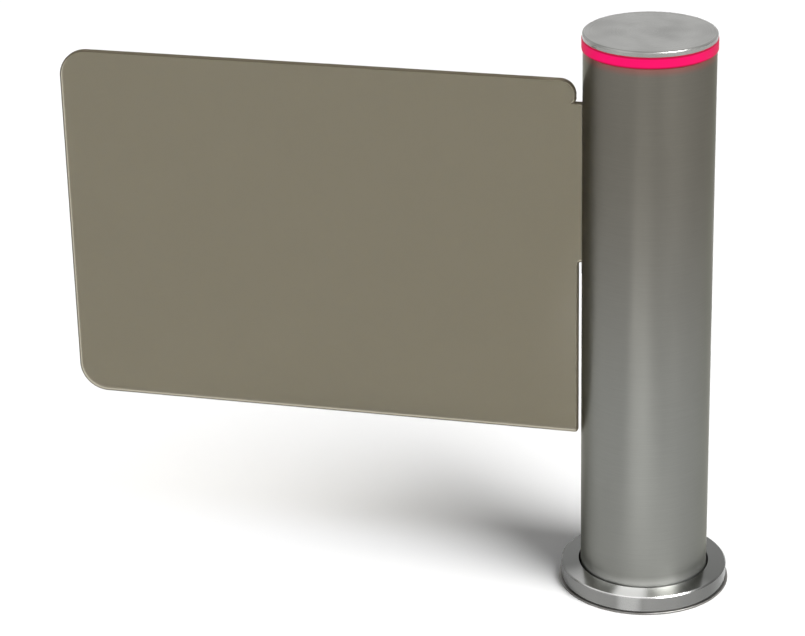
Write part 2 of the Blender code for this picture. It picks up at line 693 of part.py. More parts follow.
def mast():
    """Fixed tube with its welded foot, a shoulder for the lower bearing and a cable window."""
    foot_top = MAST_FOOT_HEIGHT + MAST_FOOT_THICKNESS
    profile = [(MAST_BORE_RADIUS, MAST_FOOT_HEIGHT), (MAST_FOOT_RADIUS, MAST_FOOT_HEIGHT),
               (MAST_FOOT_RADIUS, foot_top), (MAST_SHOULDER_RADIUS + MAST_WELD_SIZE, foot_top),
               (MAST_SHOULDER_RADIUS, foot_top + MAST_WELD_SIZE),
               (MAST_SHOULDER_RADIUS, MAST_SHOULDER_HEIGHT), (MAST_RADIUS, MAST_SHOULDER_HEIGHT),
               (MAST_RADIUS, MAST_TOP_HEIGHT), (MAST_BORE_RADIUS, MAST_TOP_HEIGHT)]
    tube = turned("mast", profile, CORE_SIDES, plain_steel())
    bolts = hole_cutters("mast_bolt_cuts", mast_bolt_points(0), M8_RADIUS + SCREW_HOLE_GAP,
                         MAST_FOOT_HEIGHT - CUT_OVERRUN, foot_top + CUT_OVERRUN)
    window = rod("mast_window_cut", (0, 0, LAMP_CABLE_ENTRY_HEIGHT),
                 (MAST_RADIUS + CUT_OVERRUN, 0, LAMP_CABLE_ENTRY_HEIGHT), MAST_WINDOW_RADIUS, SMALL_SIDES)
    return cut(tube, bolts, window)


def mast_bolts():
    """Screws that hold the mast's foot on the base plate."""
    seat = MAST_FOOT_HEIGHT + MAST_FOOT_THICKNESS + FIT_GAP
    length = seat - PLATE_THICKNESS + MAST_BOLT_DEPTH
    return place_screws("mast_bolt", M8_RADIUS, length, mast_bolt_points(seat), fastener_steel())


def race_groove(radius, middle, side):
    """Points of a ball groove in a race, which opens to the given side (1 outwards, -1 inwards)."""
    groove_radius = BALL_RADIUS + FIT_GAP
    reach = math.sqrt(groove_radius ** 2 - (groove_radius - BALL_GROOVE_DEPTH) ** 2)
    return [(radius, middle - reach), (radius - side * BALL_GROOVE_DEPTH, middle - reach / 2),
            (radius - side * BALL_GROOVE_DEPTH, middle + reach / 2), (radius, middle + reach)]


def bearing_races(name, bottom):
    """Inner and outer race of a deep-groove bearing round the mast."""
    top = bottom + BEARING_WIDTH
    middle = bottom + BEARING_WIDTH / 2
    inner_face = INNER_RACE_RADIUS + RACE_THICKNESS
    outer_face = BEARING_OUTER_RADIUS - RACE_THICKNESS
    inner_profile = ([(INNER_RACE_RADIUS, bottom), (inner_face, bottom)]
                     + race_groove(inner_face, middle, 1)
                     + [(inner_face, top), (INNER_RACE_RADIUS, top)])
    outer_profile = ([(BEARING_OUTER_RADIUS, bottom), (outer_face, bottom)]
                     + race_groove(outer_face, middle, -1)
                     + [(outer_face, top), (BEARING_OUTER_RADIUS, top)])
    inner = turned(f"{name}_inner_race", inner_profile, RACE_SIDES, bearing_steel())
    outer = turned(f"{name}_outer_race", outer_profile, RACE_SIDES, bearing_steel())
    return inner, outer


def ball_pitch_radius():
    """Radius of the circle on which the ball centres lie."""
    return (INNER_RACE_RADIUS + BEARING_OUTER_RADIUS) / 2


def ball_cage(name, bottom):
    """Cage ring with its balls."""
    middle = bottom + BEARING_WIDTH / 2
    pitch = ball_pitch_radius()
    profile = ring_profile(pitch - CAGE_THICKNESS / 2, pitch + CAGE_THICKNESS / 2,
                           middle - CAGE_WIDTH / 2, middle + CAGE_WIDTH / 2)
    cage = turned(f"{name}_ball_cage", profile, BALL_COUNT * 3, bearing_steel())
    shape = bmesh.new()
    for angle in angles(BALL_COUNT):
        place = Matrix.Translation(on_circle(pitch, angle, middle))
        bmesh.ops.create_uvsphere(shape, u_segments=BOLT_SIDES, v_segments=BOLT_SIDES // 2,
                                  radius=BALL_RADIUS, matrix=place)
    balls = add_object(f"{name}_balls", close_mesh(f"{name}_balls", shape))
    return join(cage, balls)


def hub_profile(bottom, top, lip_edge):
    """Profile of a hub: a disc out to the tube at its foot, a bearing bore and a lip over one end of it.

    The lip lies between its edge inside the bore and the nearer end of the hub.
    """
    bore = BEARING_OUTER_RADIUS + FIT_GAP
    rim = TUBE_INNER_RADIUS - FIT_GAP
    disc_top = bottom + HUB_DISC_THICKNESS
    outside = [(rim, bottom), (rim, disc_top), (HUB_RADIUS, disc_top), (HUB_RADIUS, top)]
    if top - lip_edge < lip_edge - bottom:
        return ([(bore, bottom)] + outside
                + [(HUB_LIP_RADIUS, top), (HUB_LIP_RADIUS, lip_edge), (bore, lip_edge)])
    return ([(HUB_LIP_RADIUS, bottom)] + outside
            + [(bore, top), (bore, lip_edge), (HUB_LIP_RADIUS, lip_edge)])


def gear_screw_points(height):
    """Centres of the ring gear's screws."""
    start = math.pi / GEAR_SCREW_COUNT
    return [on_circle(GEAR_SCREW_CIRCLE_RADIUS, angle, height)
            for angle in angles(GEAR_SCREW_COUNT, start)]


def lower_hub():
    """Lower disc of the tube, which hangs on the lower bearing, with the stop pin under it."""
    lip_edge = LOWER_BEARING_HEIGHT + BEARING_WIDTH + FIT_GAP
    profile = hub_profile(LOWER_HUB_BOTTOM, LOWER_HUB_TOP, lip_edge)
    hub = turned("lower_hub", profile, CORE_SIDES, plain_steel())
    screws = hole_cutters("hub_screw_cuts", gear_screw_points(0), M5_RADIUS + SCREW_HOLE_GAP,
                          LOWER_HUB_TOP - GEAR_SCREW_DEPTH - RUNNING_GAP, LOWER_HUB_TOP + CUT_OVERRUN)
    pin_top = LOWER_HUB_BOTTOM + HUB_DISC_THICKNESS / 2
    pin = hole_cutters("stop_pin", [(-STOP_PIN_REACH, 0, 0)], STOP_PIN_RADIUS, STOP_PIN_BOTTOM, pin_top)
    return cut(join(hub, pin), screws)


def upper_hub():
    """Upper disc of the tube, guided by the upper bearing."""
    top = UPPER_BEARING_HEIGHT + BEARING_WIDTH
    profile = hub_profile(UPPER_HUB_BOTTOM, top, UPPER_BEARING_HEIGHT - FIT_GAP)
    return turned("upper_hub", profile, CORE_SIDES, plain_steel())


def mast_nut():
    """Ring nut that holds the upper inner race down on the mast."""
    bottom = UPPER_BEARING_HEIGHT + BEARING_WIDTH + FIT_GAP
    profile = ring_profile(MAST_RADIUS + FIT_GAP, INNER_RACE_RADIUS + RACE_THICKNESS,
                           bottom, MAST_TOP_HEIGHT - FIT_GAP)
    return turned("mast_nut", profile, CORE_SIDES, fastener_steel())


def involute_angle(base_radius, radius):
    """Polar angle by which an involute has turned when it reaches a radius."""
    if radius <= base_radius:
        return 0
    lean = math.acos(base_radius / radius)
    return math.tan(lean) - lean


def gear_outline(teeth, phase):
    """Outline of an involute spur gear round the origin, with a tooth centred at the phase angle."""
    pitch_radius = GEAR_MODULE * teeth / 2
    base_radius = pitch_radius * math.cos(PRESSURE_ANGLE)
    tip_radius = pitch_radius + GEAR_MODULE - GEAR_ROOT_GAP / 2
    root_radius = pitch_radius - GEAR_MODULE - GEAR_ROOT_GAP
    half_tooth = (math.pi / 2 - GEAR_BACKLASH / GEAR_MODULE) / teeth
    at_pitch = involute_angle(base_radius, pitch_radius)
    flank_start = max(base_radius, root_radius)
    rise = (tip_radius - flank_start) / FLANK_STEPS
    radii = [flank_start + rise * step for step in range(FLANK_STEPS + 1)]
    if root_radius < base_radius:
        radii.insert(0, root_radius)
    flank = [(radius, half_tooth + at_pitch - involute_angle(base_radius, radius)) for radius in radii]
    outline = []
    for centre in angles(teeth, phase):
        for radius, half_angle in flank:
            outline.append(on_circle(radius, centre - half_angle, 0)[:2])
        for radius, half_angle in reversed(flank):
            outline.append(on_circle(radius, centre + half_angle, 0)[:2])
    return outline


def ring_gear():
    """Ring gear on the lower hub, with a tooth gap on the +X side for the pinion."""
    gear = prism("ring_gear", gear_outline(GEAR_TEETH, math.pi / GEAR_TEETH), GEAR_HEIGHT, GEAR_TOP,
                 plain_steel())
    bore = hole_cutters("gear_bore_cut", [(0, 0, 0)], HUB_LIP_RADIUS,
                        GEAR_HEIGHT - CUT_OVERRUN, GEAR_TOP + CUT_OVERRUN)
    screws = hole_cutters("gear_screw_cuts", gear_screw_points(0), M5_RADIUS + SCREW_HOLE_GAP,
                          GEAR_HEIGHT - CUT_OVERRUN, GEAR_TOP + CUT_OVERRUN)
    return cut(gear, bore, screws)


def gear_screws():
    """Screws that hold the ring gear on the lower hub."""
    seat = GEAR_TOP + FIT_GAP
    length = seat - LOWER_HUB_TOP + GEAR_SCREW_DEPTH
    return place_screws("gear_screw", M5_RADIUS, length, gear_screw_points(seat), fastener_steel())


def pinion(frame_place):
    """Pinion on the drive shaft, with a tooth turned to the ring gear's gap."""
    gear = prism("pinion", gear_outline(PINION_TEETH, math.pi), GEAR_HEIGHT, GEAR_TOP, plain_steel())
    bore = hole_cutters("pinion_bore_cut", [(0, 0, 0)], SHAFT_RADIUS + FIT_GAP,
                        GEAR_HEIGHT - CUT_OVERRUN, GEAR_TOP + CUT_OVERRUN)
    cut(gear, bore)
    gear.location = frame_place
    bore.location = frame_place
    return gear


def drive_shaft(frame_place):
    """Output shaft of the gearbox, down through the bracket into the pinion."""
    profile = disc_profile(SHAFT_RADIUS, GEAR_HEIGHT - SHAFT_TAIL, GEARBOX_HEIGHT + SHAFT_ENTRY, EDGE_BREAK)
    shaft = turned("drive_shaft", profile, SMALL_SIDES, bearing_steel(), closed_ring=False)
    shaft.location = frame_place
    return shaft


def post_tube():
    """Brushed tube that turns with the wing, with the tall slot for the tongue on its -X side."""
    profile = ring_profile(TUBE_INNER_RADIUS, TUBE_RADIUS, TUBE_BOTTOM_HEIGHT, TUBE_TOP_HEIGHT)
    tube = turned("post_tube", profile, SKIN_SIDES, brushed_steel())
    slot = block("tube_slot_cut", (-TUBE_RADIUS - CUT_OVERRUN, -SLOT_HALF, SLOT_BOTTOM_HEIGHT),
                 (0, SLOT_HALF, SLOT_TOP_HEIGHT))
    return cut(tube, slot)


def slot_trim():
    """Rubber frame that lines the slot round the tongue."""
    outer_reach = TUBE_RADIUS + TRIM_STAND_OUT
    inner_reach = TUBE_INNER_RADIUS - TRIM_STAND_IN
    bottom = SLOT_BOTTOM_HEIGHT + FIT_GAP
    top = SLOT_TOP_HEIGHT - FIT_GAP
    trim = block("slot_trim", (-outer_reach, -TRIM_OUTER_HALF, bottom),
                 (-inner_reach, TRIM_OUTER_HALF, top), black_rubber())
    mouth = block("trim_mouth_cut", (-outer_reach - CUT_OVERRUN, -TRIM_INNER_HALF, bottom + TRIM_THICKNESS),
                  (-inner_reach + CUT_OVERRUN, TRIM_INNER_HALF, top - TRIM_THICKNESS))
    return cut(trim, mouth)


def panel_outline():
    """Outline of the wing panel as (reach, height), going round from the tongue's upper end."""
    steps = CORNER_STEPS
    quarter = math.pi / 2
    outline = [(TONGUE_END_REACH, TONGUE_BOTTOM_HEIGHT), (TONGUE_END_REACH, TONGUE_TOP_HEIGHT),
               (PANEL_UPPER_INNER_REACH + PANEL_NOTCH, TONGUE_TOP_HEIGHT),
               (PANEL_UPPER_INNER_REACH, TONGUE_TOP_HEIGHT + PANEL_NOTCH)]
    corner = PANEL_UPPER_INNER_CORNER
    outline += arc_points((PANEL_UPPER_INNER_REACH + corner, PANEL_TOP_HEIGHT - corner), corner,
                          2 * quarter, quarter, steps)
    corner = PANEL_OUTER_CORNER
    outline += arc_points((PANEL_OUTER_REACH - corner, PANEL_TOP_HEIGHT - corner), corner,
                          quarter, 0, steps * 3)
    outline += arc_points((PANEL_OUTER_REACH - corner, PANEL_BOTTOM_HEIGHT + corner), corner,
                          0, -quarter, steps * 3)
    corner = PANEL_LOWER_INNER_CORNER
    outline += arc_points((PANEL_INNER_REACH + corner, PANEL_BOTTOM_HEIGHT + corner), corner,
                          -quarter, -2 * quarter, steps)
    fillet = TONGUE_ROOT_FILLET
    outline += arc_points((PANEL_INNER_REACH - fillet, TONGUE_BOTTOM_HEIGHT - fillet), fillet,
                          0, quarter, steps)
    return outline


def clamp_bolt_heights():
    """Heights of the clamp bolts, evenly spaced along the tongue."""
    step = (CHEEK_TOP_HEIGHT - CHEEK_BOTTOM_HEIGHT) / CLAMP_BOLT_COUNT
    return [CHEEK_BOTTOM_HEIGHT + step * (index + 1 / 2) for index in range(CLAMP_BOLT_COUNT)]


def cross_cutters(name, radius, half_length):
    """Round cutters across the wing at each clamp bolt, as one hidden object."""
    turn = Matrix.Rotation(math.pi / 2, 4, "X")
    shape = bmesh.new()
    for height in clamp_bolt_heights():
        place = Matrix.Translation((-CLAMP_BOLT_REACH, 0, height)) @ turn
        bmesh.ops.create_cone(shape, cap_ends=True, segments=SMALL_SIDES, radius1=radius, radius2=radius,
                              depth=2 * half_length, matrix=place)
    return add_object(name, close_mesh(name, shape))


def wing_panel():
    """Clear tinted sheet with its tongue and bolt holes."""
    upright = Matrix.Rotation(math.pi / 2, 4, "X")
    outline = [(-reach, height) for reach, height in panel_outline()]
    mesh_data = prism_mesh("wing_panel", outline, -PANEL_THICKNESS / 2, PANEL_THICKNESS / 2)
    mesh_data.transform(upright)
    panel = add_object("wing_panel", mesh_data, bronze_sheet())
    holes = cross_cutters("panel_hole_cuts", M8_RADIUS + BUSH_WALL + 2 * FIT_GAP,
                          PANEL_THICKNESS / 2 + CUT_OVERRUN)
    return cut(panel, holes)


def panel_bushes():
    """Nylon sleeves that keep the clamp bolts off the sheet."""
    profile = ring_profile(M8_RADIUS + FIT_GAP, M8_RADIUS + FIT_GAP + BUSH_WALL,
                           -PANEL_THICKNESS / 2, PANEL_THICKNESS / 2)
    mesh_data = turned_mesh("panel_bush", profile, SMALL_SIDES)
    mesh_data.transform(Matrix.Rotation(math.pi / 2, 4, "X"))
    mesh_data.materials.append(white_nylon())
    bushes = []
    for index, height in enumerate(clamp_bolt_heights(), start=1):
        bush = add_object(f"panel_bush_{index}", mesh_data)
        bush.location = (-CLAMP_BOLT_REACH, 0, height)
        bushes.append(bush)
    return bushes


def clamp_bolts():
    """Bolts across the clamp, with their heads on the front cheek."""
    length = CHEEK_BACK * 2 + FIT_GAP
    mesh_data = cap_screw_mesh("clamp_bolt", M8_RADIUS, length)
    mesh_data.transform(Matrix.Rotation(math.pi / 2, 4, "X"))
    mesh_data.materials.append(fastener_steel())
    bolts = []
    for index, height in enumerate(clamp_bolt_heights(), start=1):
        bolt = add_object(f"clamp_bolt_{index}", mesh_data)
        bolt.location = (-CLAMP_BOLT_REACH, -CHEEK_BACK - FIT_GAP, height)
        bolts.append(bolt)
    return bolts


def clamp_pad():
    """Rubber pad folded round the tongue's end, between the sheet and the cheeks."""
    inner_end = TONGUE_END_REACH - FIT_GAP
    outer_end = TUBE_INNER_RADIUS - TRIM_STAND_IN - 2 * FIT_GAP
    half = PAD_FACE + PAD_THICKNESS
    pad = block("clamp_pad", (-outer_end, -half, CHEEK_BOTTOM_HEIGHT),
                (-inner_end + PAD_THICKNESS, half, CHEEK_TOP_HEIGHT), black_rubber())
    fold = block("pad_fold_cut", (-outer_end - CUT_OVERRUN, -PAD_FACE, CHEEK_BOTTOM_HEIGHT - CUT_OVERRUN),
                 (-inner_end, PAD_FACE, CHEEK_TOP_HEIGHT + CUT_OVERRUN))
    return cut(pad, fold, cross_cutters("pad_hole_cuts", M8_RADIUS + 2 * FIT_GAP, CHEEK_BACK))


def clamp_cheek(name, side):
    """Steel angle that grips the tongue and is welded to the tube's inner wall."""
    outline = [(-CHEEK_END_REACH, side * CHEEK_FACE), (-CHEEK_END_REACH, side * CHEEK_BACK),
               (-CHEEK_FOOT_REACH, side * CHEEK_BACK), (-CHEEK_FOOT_REACH, side * CHEEK_FOOT_BACK)]
    start = math.pi - side * math.asin(CHEEK_FOOT_BACK / CHEEK_WALL_RADIUS)
    end = math.pi - side * math.asin(CHEEK_FACE / CHEEK_WALL_RADIUS)
    outline += arc_points((0, 0), CHEEK_WALL_RADIUS, start, end, CORNER_STEPS)
    cheek = prism(name, outline, CHEEK_BOTTOM_HEIGHT, CHEEK_TOP_HEIGHT, plain_steel())
    return cut(cheek, cross_cutters(f"{name}_cuts", M8_RADIUS + SCREW_HOLE_GAP, CHEEK_BACK + CUT_OVERRUN))


def buffer_front_angle():
    """Angle from the +X axis to a buffer's face, seen at the stop pin's radius."""
    return math.pi - SWING_ANGLE - math.asin((STOP_PIN_RADIUS + FIT_GAP) / STOP_PIN_REACH)


def stop_blocks():
    """Steel blocks on the base plate, one past each end of the swing, with their rubber buffers."""
    pieces = []
    for name, side in (("left", 1), ("right", -1)):
        turn = Matrix.Rotation(side * buffer_front_angle(), 4, "Z")
        block_front = -(BUFFER_THICKNESS + FIT_GAP)
        bottom = PLATE_THICKNESS + FIT_GAP
        half_width = STOP_BLOCK_WIDTH / 2
        span = sorted((side * block_front, side * (block_front - STOP_BLOCK_LENGTH)))
        mesh_data = block_mesh(f"stop_block_{name}", (STOP_PIN_REACH - half_width, span[0], bottom),
                               (STOP_PIN_REACH + half_width, span[1], STOP_BLOCK_TOP))
        mesh_data.transform(turn)
        pieces.append(add_object(f"stop_block_{name}", mesh_data, plain_steel()))
        profile = disc_profile(BUFFER_RADIUS, 0, BUFFER_THICKNESS, EDGE_BREAK)
        buffer_mesh = turned_mesh(f"stop_buffer_{name}", profile, SMALL_SIDES, closed_ring=False)
        lay = Matrix.Rotation(side * math.pi / 2, 4, "X")
        place = Matrix.Translation((STOP_PIN_REACH, 0, STOP_PIN_BOTTOM + BUFFER_RADIUS))
        buffer_mesh.transform(turn @ place @ lay)
        pieces.append(add_object(f"stop_buffer_{name}", buffer_mesh, black_rubber()))
    return pieces


def capsule_outline(radius, far_radius, reach):
    """Outline round two circles on the X axis, one at the origin and one at the reach."""
    lean = math.acos((radius - far_radius) / reach)
    near = arc_points((0, 0), radius, lean, 2 * math.pi - lean, CORE_SIDES // 2)
    far = arc_points((reach, 0), far_radius, -lean, lean, CORE_SIDES // 2)
    return near + far


def gearbox_screw_points(height):
    """Centres of the gearbox screws."""
    points = []
    for angle in angles(GEARBOX_SCREW_COUNT, math.pi / GEARBOX_SCREW_COUNT):
        x, y, z = on_circle(GEARBOX_SCREW_CIRCLE_RADIUS, angle, height)
        points.append((DRIVE_REACH + x, y, z))
    return points


def motor_bracket():
    """Plate welded round the mast that carries the gearbox and, on the other side, the sensor."""
    outline = capsule_outline(MAST_RADIUS + BRACKET_RIM, GEARBOX_RADIUS, DRIVE_REACH)
    plate = prism("motor_bracket", outline, BRACKET_HEIGHT, BRACKET_TOP, plain_steel())
    arm_end = VANE_REACH + SENSOR_SLOT_WIDTH / 2 + SENSOR_WALL
    arm = block("sensor_arm", (-arm_end, -SENSOR_WIDTH / 2, BRACKET_HEIGHT),
                (-MAST_RADIUS - BRACKET_RIM / 2, SENSOR_WIDTH / 2, BRACKET_TOP))
    join(plate, arm)
    bottom = BRACKET_HEIGHT - CUT_OVERRUN
    top = BRACKET_TOP + CUT_OVERRUN
    mast_hole = hole_cutters("bracket_mast_cut", [(0, 0, 0)], MAST_RADIUS + FIT_GAP, bottom, top,
                             CORE_SIDES)
    shaft_hole = hole_cutters("bracket_shaft_cut", [(DRIVE_REACH, 0, 0)], BRACKET_SHAFT_HOLE_RADIUS,
                              bottom, top)
    screws = hole_cutters("bracket_screw_cuts", gearbox_screw_points(0), M5_RADIUS + SCREW_HOLE_GAP,
                          bottom, top)
    return cut(plate, mast_hole, shaft_hole, screws)


def gearbox():
    """Planetary gearbox with the bore that its output shaft comes out of."""
    profile = disc_profile(GEARBOX_RADIUS, GEARBOX_HEIGHT, GEARBOX_HEIGHT + GEARBOX_LENGTH, DRIVE_BEVEL)
    box = turned("gearbox", profile, DRUM_SIDES, cast_aluminium(), closed_ring=False)
    box.location = (DRIVE_REACH, 0, 0)
    bore = hole_cutters("gearbox_bore_cut", [(DRIVE_REACH, 0, 0)], SHAFT_RADIUS + FIT_GAP,
                        GEARBOX_HEIGHT - CUT_OVERRUN, GEARBOX_HEIGHT + SHAFT_ENTRY + FIT_GAP)
    screws = hole_cutters("gearbox_screw_cuts", gearbox_screw_points(0), M5_RADIUS + SCREW_HOLE_GAP,
                          GEARBOX_HEIGHT - CUT_OVERRUN, GEARBOX_HEIGHT + GEARBOX_SCREW_DEPTH + RUNNING_GAP)
    return cut(box, bore, screws)


def gearbox_screws():
    """Screws from under the bracket into the gearbox."""
    seat = BRACKET_HEIGHT - FIT_GAP
    length = BRACKET_THICKNESS + 2 * FIT_GAP + GEARBOX_SCREW_DEPTH
    mesh_data = cap_screw_mesh("gearbox_screw", M5_RADIUS, length)
    mesh_data.transform(Matrix.Rotation(math.pi, 4, "X"))
    mesh_data.materials.append(fastener_steel())
    made = []
    for index, place in enumerate(gearbox_screw_points(seat), start=1):
        screw = add_object(f"gearbox_screw_{index}", mesh_data)
        screw.location = place
        made.append(screw)
    return made


def motor():
    """Motor on the gearbox."""
    profile = disc_profile(MOTOR_RADIUS, MOTOR_HEIGHT, MOTOR_HEIGHT + MOTOR_LENGTH, DRIVE_BEVEL)
    can = turned("motor", profile, DRUM_SIDES, motor_paint(), closed_ring=False)
    can.location = (DRIVE_REACH, 0, 0)
    return can


def motor_brake():
    """Holding brake on the motor, with its stepped cover."""
    shoulder = BRAKE_HEIGHT + BRAKE_LENGTH
    profile = [(0, BRAKE_HEIGHT), (BRAKE_RADIUS, BRAKE_HEIGHT), (BRAKE_RADIUS, shoulder - DRIVE_BEVEL),
               (BRAKE_RADIUS - DRIVE_BEVEL, shoulder), (BRAKE_COVER_RADIUS, shoulder),
               (BRAKE_COVER_RADIUS, BRAKE_TOP - DRIVE_BEVEL),
               (BRAKE_COVER_RADIUS - DRIVE_BEVEL, BRAKE_TOP), (0, BRAKE_TOP)]
    brake = turned("motor_brake", profile, DRUM_SIDES, motor_paint(), closed_ring=False)
    brake.location = (DRIVE_REACH, 0, 0)
    return brake


def sensor_vane():
    """Bent strip on the lower hub that passes through the position sensor."""
    bottom = LOWER_HUB_BOTTOM + HUB_DISC_THICKNESS + FIT_GAP
    top = BRACKET_HEIGHT - FIT_GAP - SENSOR_HEIGHT + VANE_ENTRY
    half = VANE_THICKNESS / 2
    outline = [(-VANE_REACH - half, bottom), (-VANE_REACH + half + VANE_FOOT_LENGTH, bottom),
               (-VANE_REACH + half + VANE_FOOT_LENGTH, bottom + VANE_THICKNESS),
               (-VANE_REACH + half, bottom + VANE_THICKNESS), (-VANE_REACH + half, top),
               (-VANE_REACH - half, top)]
    mesh_data = prism_mesh("sensor_vane", outline, -VANE_WIDTH / 2, VANE_WIDTH / 2)
    mesh_data.transform(Matrix.Rotation(math.pi / 2, 4, "X"))
    return add_object("sensor_vane", mesh_data, plain_steel())


def position_sensor():
    """Fork sensor under the bracket's arm."""
    top = BRACKET_HEIGHT - FIT_GAP
    bottom = top - SENSOR_HEIGHT
    half_slot = SENSOR_SLOT_WIDTH / 2
    half_body = half_slot + SENSOR_WALL
    low = (-VANE_REACH - half_body, -SENSOR_WIDTH / 2, bottom)
    high = (-VANE_REACH + half_body, SENSOR_WIDTH / 2, top)
    body = block("position_sensor", low, high, grey_plastic())
    slot = block("sensor_slot_cut", (-VANE_REACH - half_slot, -SENSOR_WIDTH, bottom - CUT_OVERRUN),
                 (-VANE_REACH + half_slot, SENSOR_WIDTH, top - SENSOR_BACK))
    return cut(body, slot)


def box_bracket():
    """Plate with two bands round the mast that carries the control box."""
    back = BOX_BACK_REACH - FIT_GAP
    half_height = BOX_PLATE_HEIGHT / 2
    plate = block("box_bracket",
                  (back - BOX_PLATE_THICKNESS, -BOX_PLATE_WIDTH / 2, BOX_MIDDLE_HEIGHT - half_height),
                  (back, BOX_PLATE_WIDTH / 2, BOX_MIDDLE_HEIGHT + half_height), plain_steel())
    for name, middle in (("lower_band", BOX_MIDDLE_HEIGHT - half_height + BAND_WIDTH),
                         ("upper_band", BOX_MIDDLE_HEIGHT + half_height - BAND_WIDTH)):
        profile = disc_profile(MAST_RADIUS + FIT_GAP + BAND_THICKNESS, middle - BAND_WIDTH / 2,
                               middle + BAND_WIDTH / 2)
        join(plate, turned(name, profile, SMALL_SIDES, None, closed_ring=False))
    mast_hole = hole_cutters("box_mast_cut", [(0, 0, 0)], MAST_RADIUS + FIT_GAP,
                             BOX_BOTTOM_HEIGHT, BOX_TOP_HEIGHT, CORE_SIDES)
    cable_hole = rod("box_bracket_cable_cut", (MAST_RADIUS / 2, 0, LAMP_CABLE_ENTRY_HEIGHT),
                     (back + CUT_OVERRUN, 0, LAMP_CABLE_ENTRY_HEIGHT),
                     LAMP_CABLE_RADIUS + LAMP_CABLE_HOLE_GAP, BOLT_SIDES)
    return cut(plate, mast_hole, cable_hole)


def stand_off_places():
    """Places of the circuit board's four stand-offs as (y, z)."""
    half_width = BOX_WIDTH / 2 - BOX_WALL - STAND_OFF_INSET
    half_height = BOX_HEIGHT / 2 - BOX_WALL - STAND_OFF_INSET
    return [(side * half_width, BOX_MIDDLE_HEIGHT + level * half_height)
            for side in (-1, 1) for level in (-1, 1)]


def control_box():
    """Tray that holds the circuit board, open towards +X, with stand-offs and cable holes."""
    low = (BOX_BACK_REACH, -BOX_WIDTH / 2, BOX_BOTTOM_HEIGHT)
    high = (BOX_FRONT_REACH, BOX_WIDTH / 2, BOX_TOP_HEIGHT)
    tray = block("control_box", low, high, grey_plastic())
    hollow = block("box_hollow_cut", (low[0] + BOX_WALL, low[1] + BOX_WALL, low[2] + BOX_WALL),
                   (high[0] + CUT_OVERRUN, high[1] - BOX_WALL, high[2] - BOX_WALL))
    cut(tray, hollow)
    for index, (side, height) in enumerate(stand_off_places(), start=1):
        join(tray, rod(f"box_stand_off_{index}", (BOX_BACK_REACH + BOX_WALL / 2, side, height),
                       (BOARD_REACH, side, height), STAND_OFF_RADIUS, BOLT_SIDES))
    lamp_hole = rod("box_lamp_cable_cut", (MAST_RADIUS, 0, LAMP_CABLE_ENTRY_HEIGHT),
                    (BOX_BACK_REACH + BOX_WALL + CUT_OVERRUN, 0, LAMP_CABLE_ENTRY_HEIGHT),
                    LAMP_CABLE_RADIUS + FIT_GAP, BOLT_SIDES)
    motor_hole = rod("box_motor_cable_cut", (DRIVE_REACH, 0, BOX_BOTTOM_HEIGHT - CUT_OVERRUN),
                     (DRIVE_REACH, 0, BOX_BOTTOM_HEIGHT + BOX_WALL + CUT_OVERRUN),
                     MOTOR_CABLE_RADIUS + FIT_GAP, BOLT_SIDES)
    return cut(tray, lamp_hole, motor_hole)


def control_lid():
    """Lid over the tray's open side."""
    reach = BOX_FRONT_REACH + FIT_GAP
    return block("control_lid", (reach, -BOX_WIDTH / 2, BOX_BOTTOM_HEIGHT),
                 (reach + LID_THICKNESS, BOX_WIDTH / 2, BOX_TOP_HEIGHT), grey_plastic())


def circuit_board():
    """Circuit board with relays, chips and a terminal strip."""
    reach = BOARD_REACH + FIT_GAP
    face = reach + BOARD_THICKNESS
    half_width = BOX_WIDTH / 2 - BOARD_MARGIN
    half_height = BOX_HEIGHT / 2 - BOARD_MARGIN
    board = block("circuit_board", (reach, -half_width, BOX_MIDDLE_HEIGHT - half_height),
                  (face, half_width, BOX_MIDDLE_HEIGHT + half_height), board_green())
    parts = (("relay", RELAY_WIDTH, RELAY_HEIGHT, RELAY_DEPTH, RELAY_PLACE_SHARES),
             ("chip", CHIP_WIDTH, CHIP_WIDTH, CHIP_DEPTH, CHIP_PLACE_SHARES),
             ("terminal", TERMINAL_WIDTH, TERMINAL_HEIGHT, TERMINAL_DEPTH, TERMINAL_PLACE_SHARES))
    for name, width, height, depth, place_shares in parts:
        for index, (across_share, up_share) in enumerate(place_shares, start=1):
            middle_y = across_share * half_width
            middle_z = BOX_MIDDLE_HEIGHT + up_share * half_height
            join(board, block(f"board_{name}_{index}",
                              (face - BOARD_THICKNESS / 2, middle_y - width / 2, middle_z - height / 2),
                              (face + depth, middle_y + width / 2, middle_z + height / 2)))
    return board


def tube_path(name, points, radius, material):
    """Cable along a smooth run of points, as a curve with a round bevel and filled ends."""
    curve = bpy.data.curves.new(name, "CURVE")
    curve.dimensions = "3D"
    curve.bevel_depth = radius
    curve.bevel_resolution = 2
    curve.use_fill_caps = True
    line = curve.splines.new("POLY")
    line.points.add(len(points) - 1)
    for target, place in zip(line.points, points):
        target.co = (*place, 1.0)
    curve.materials.append(material)
    cable = bpy.data.objects.new(name, curve)
    bpy.context.scene.collection.objects.link(cable)
    return cable


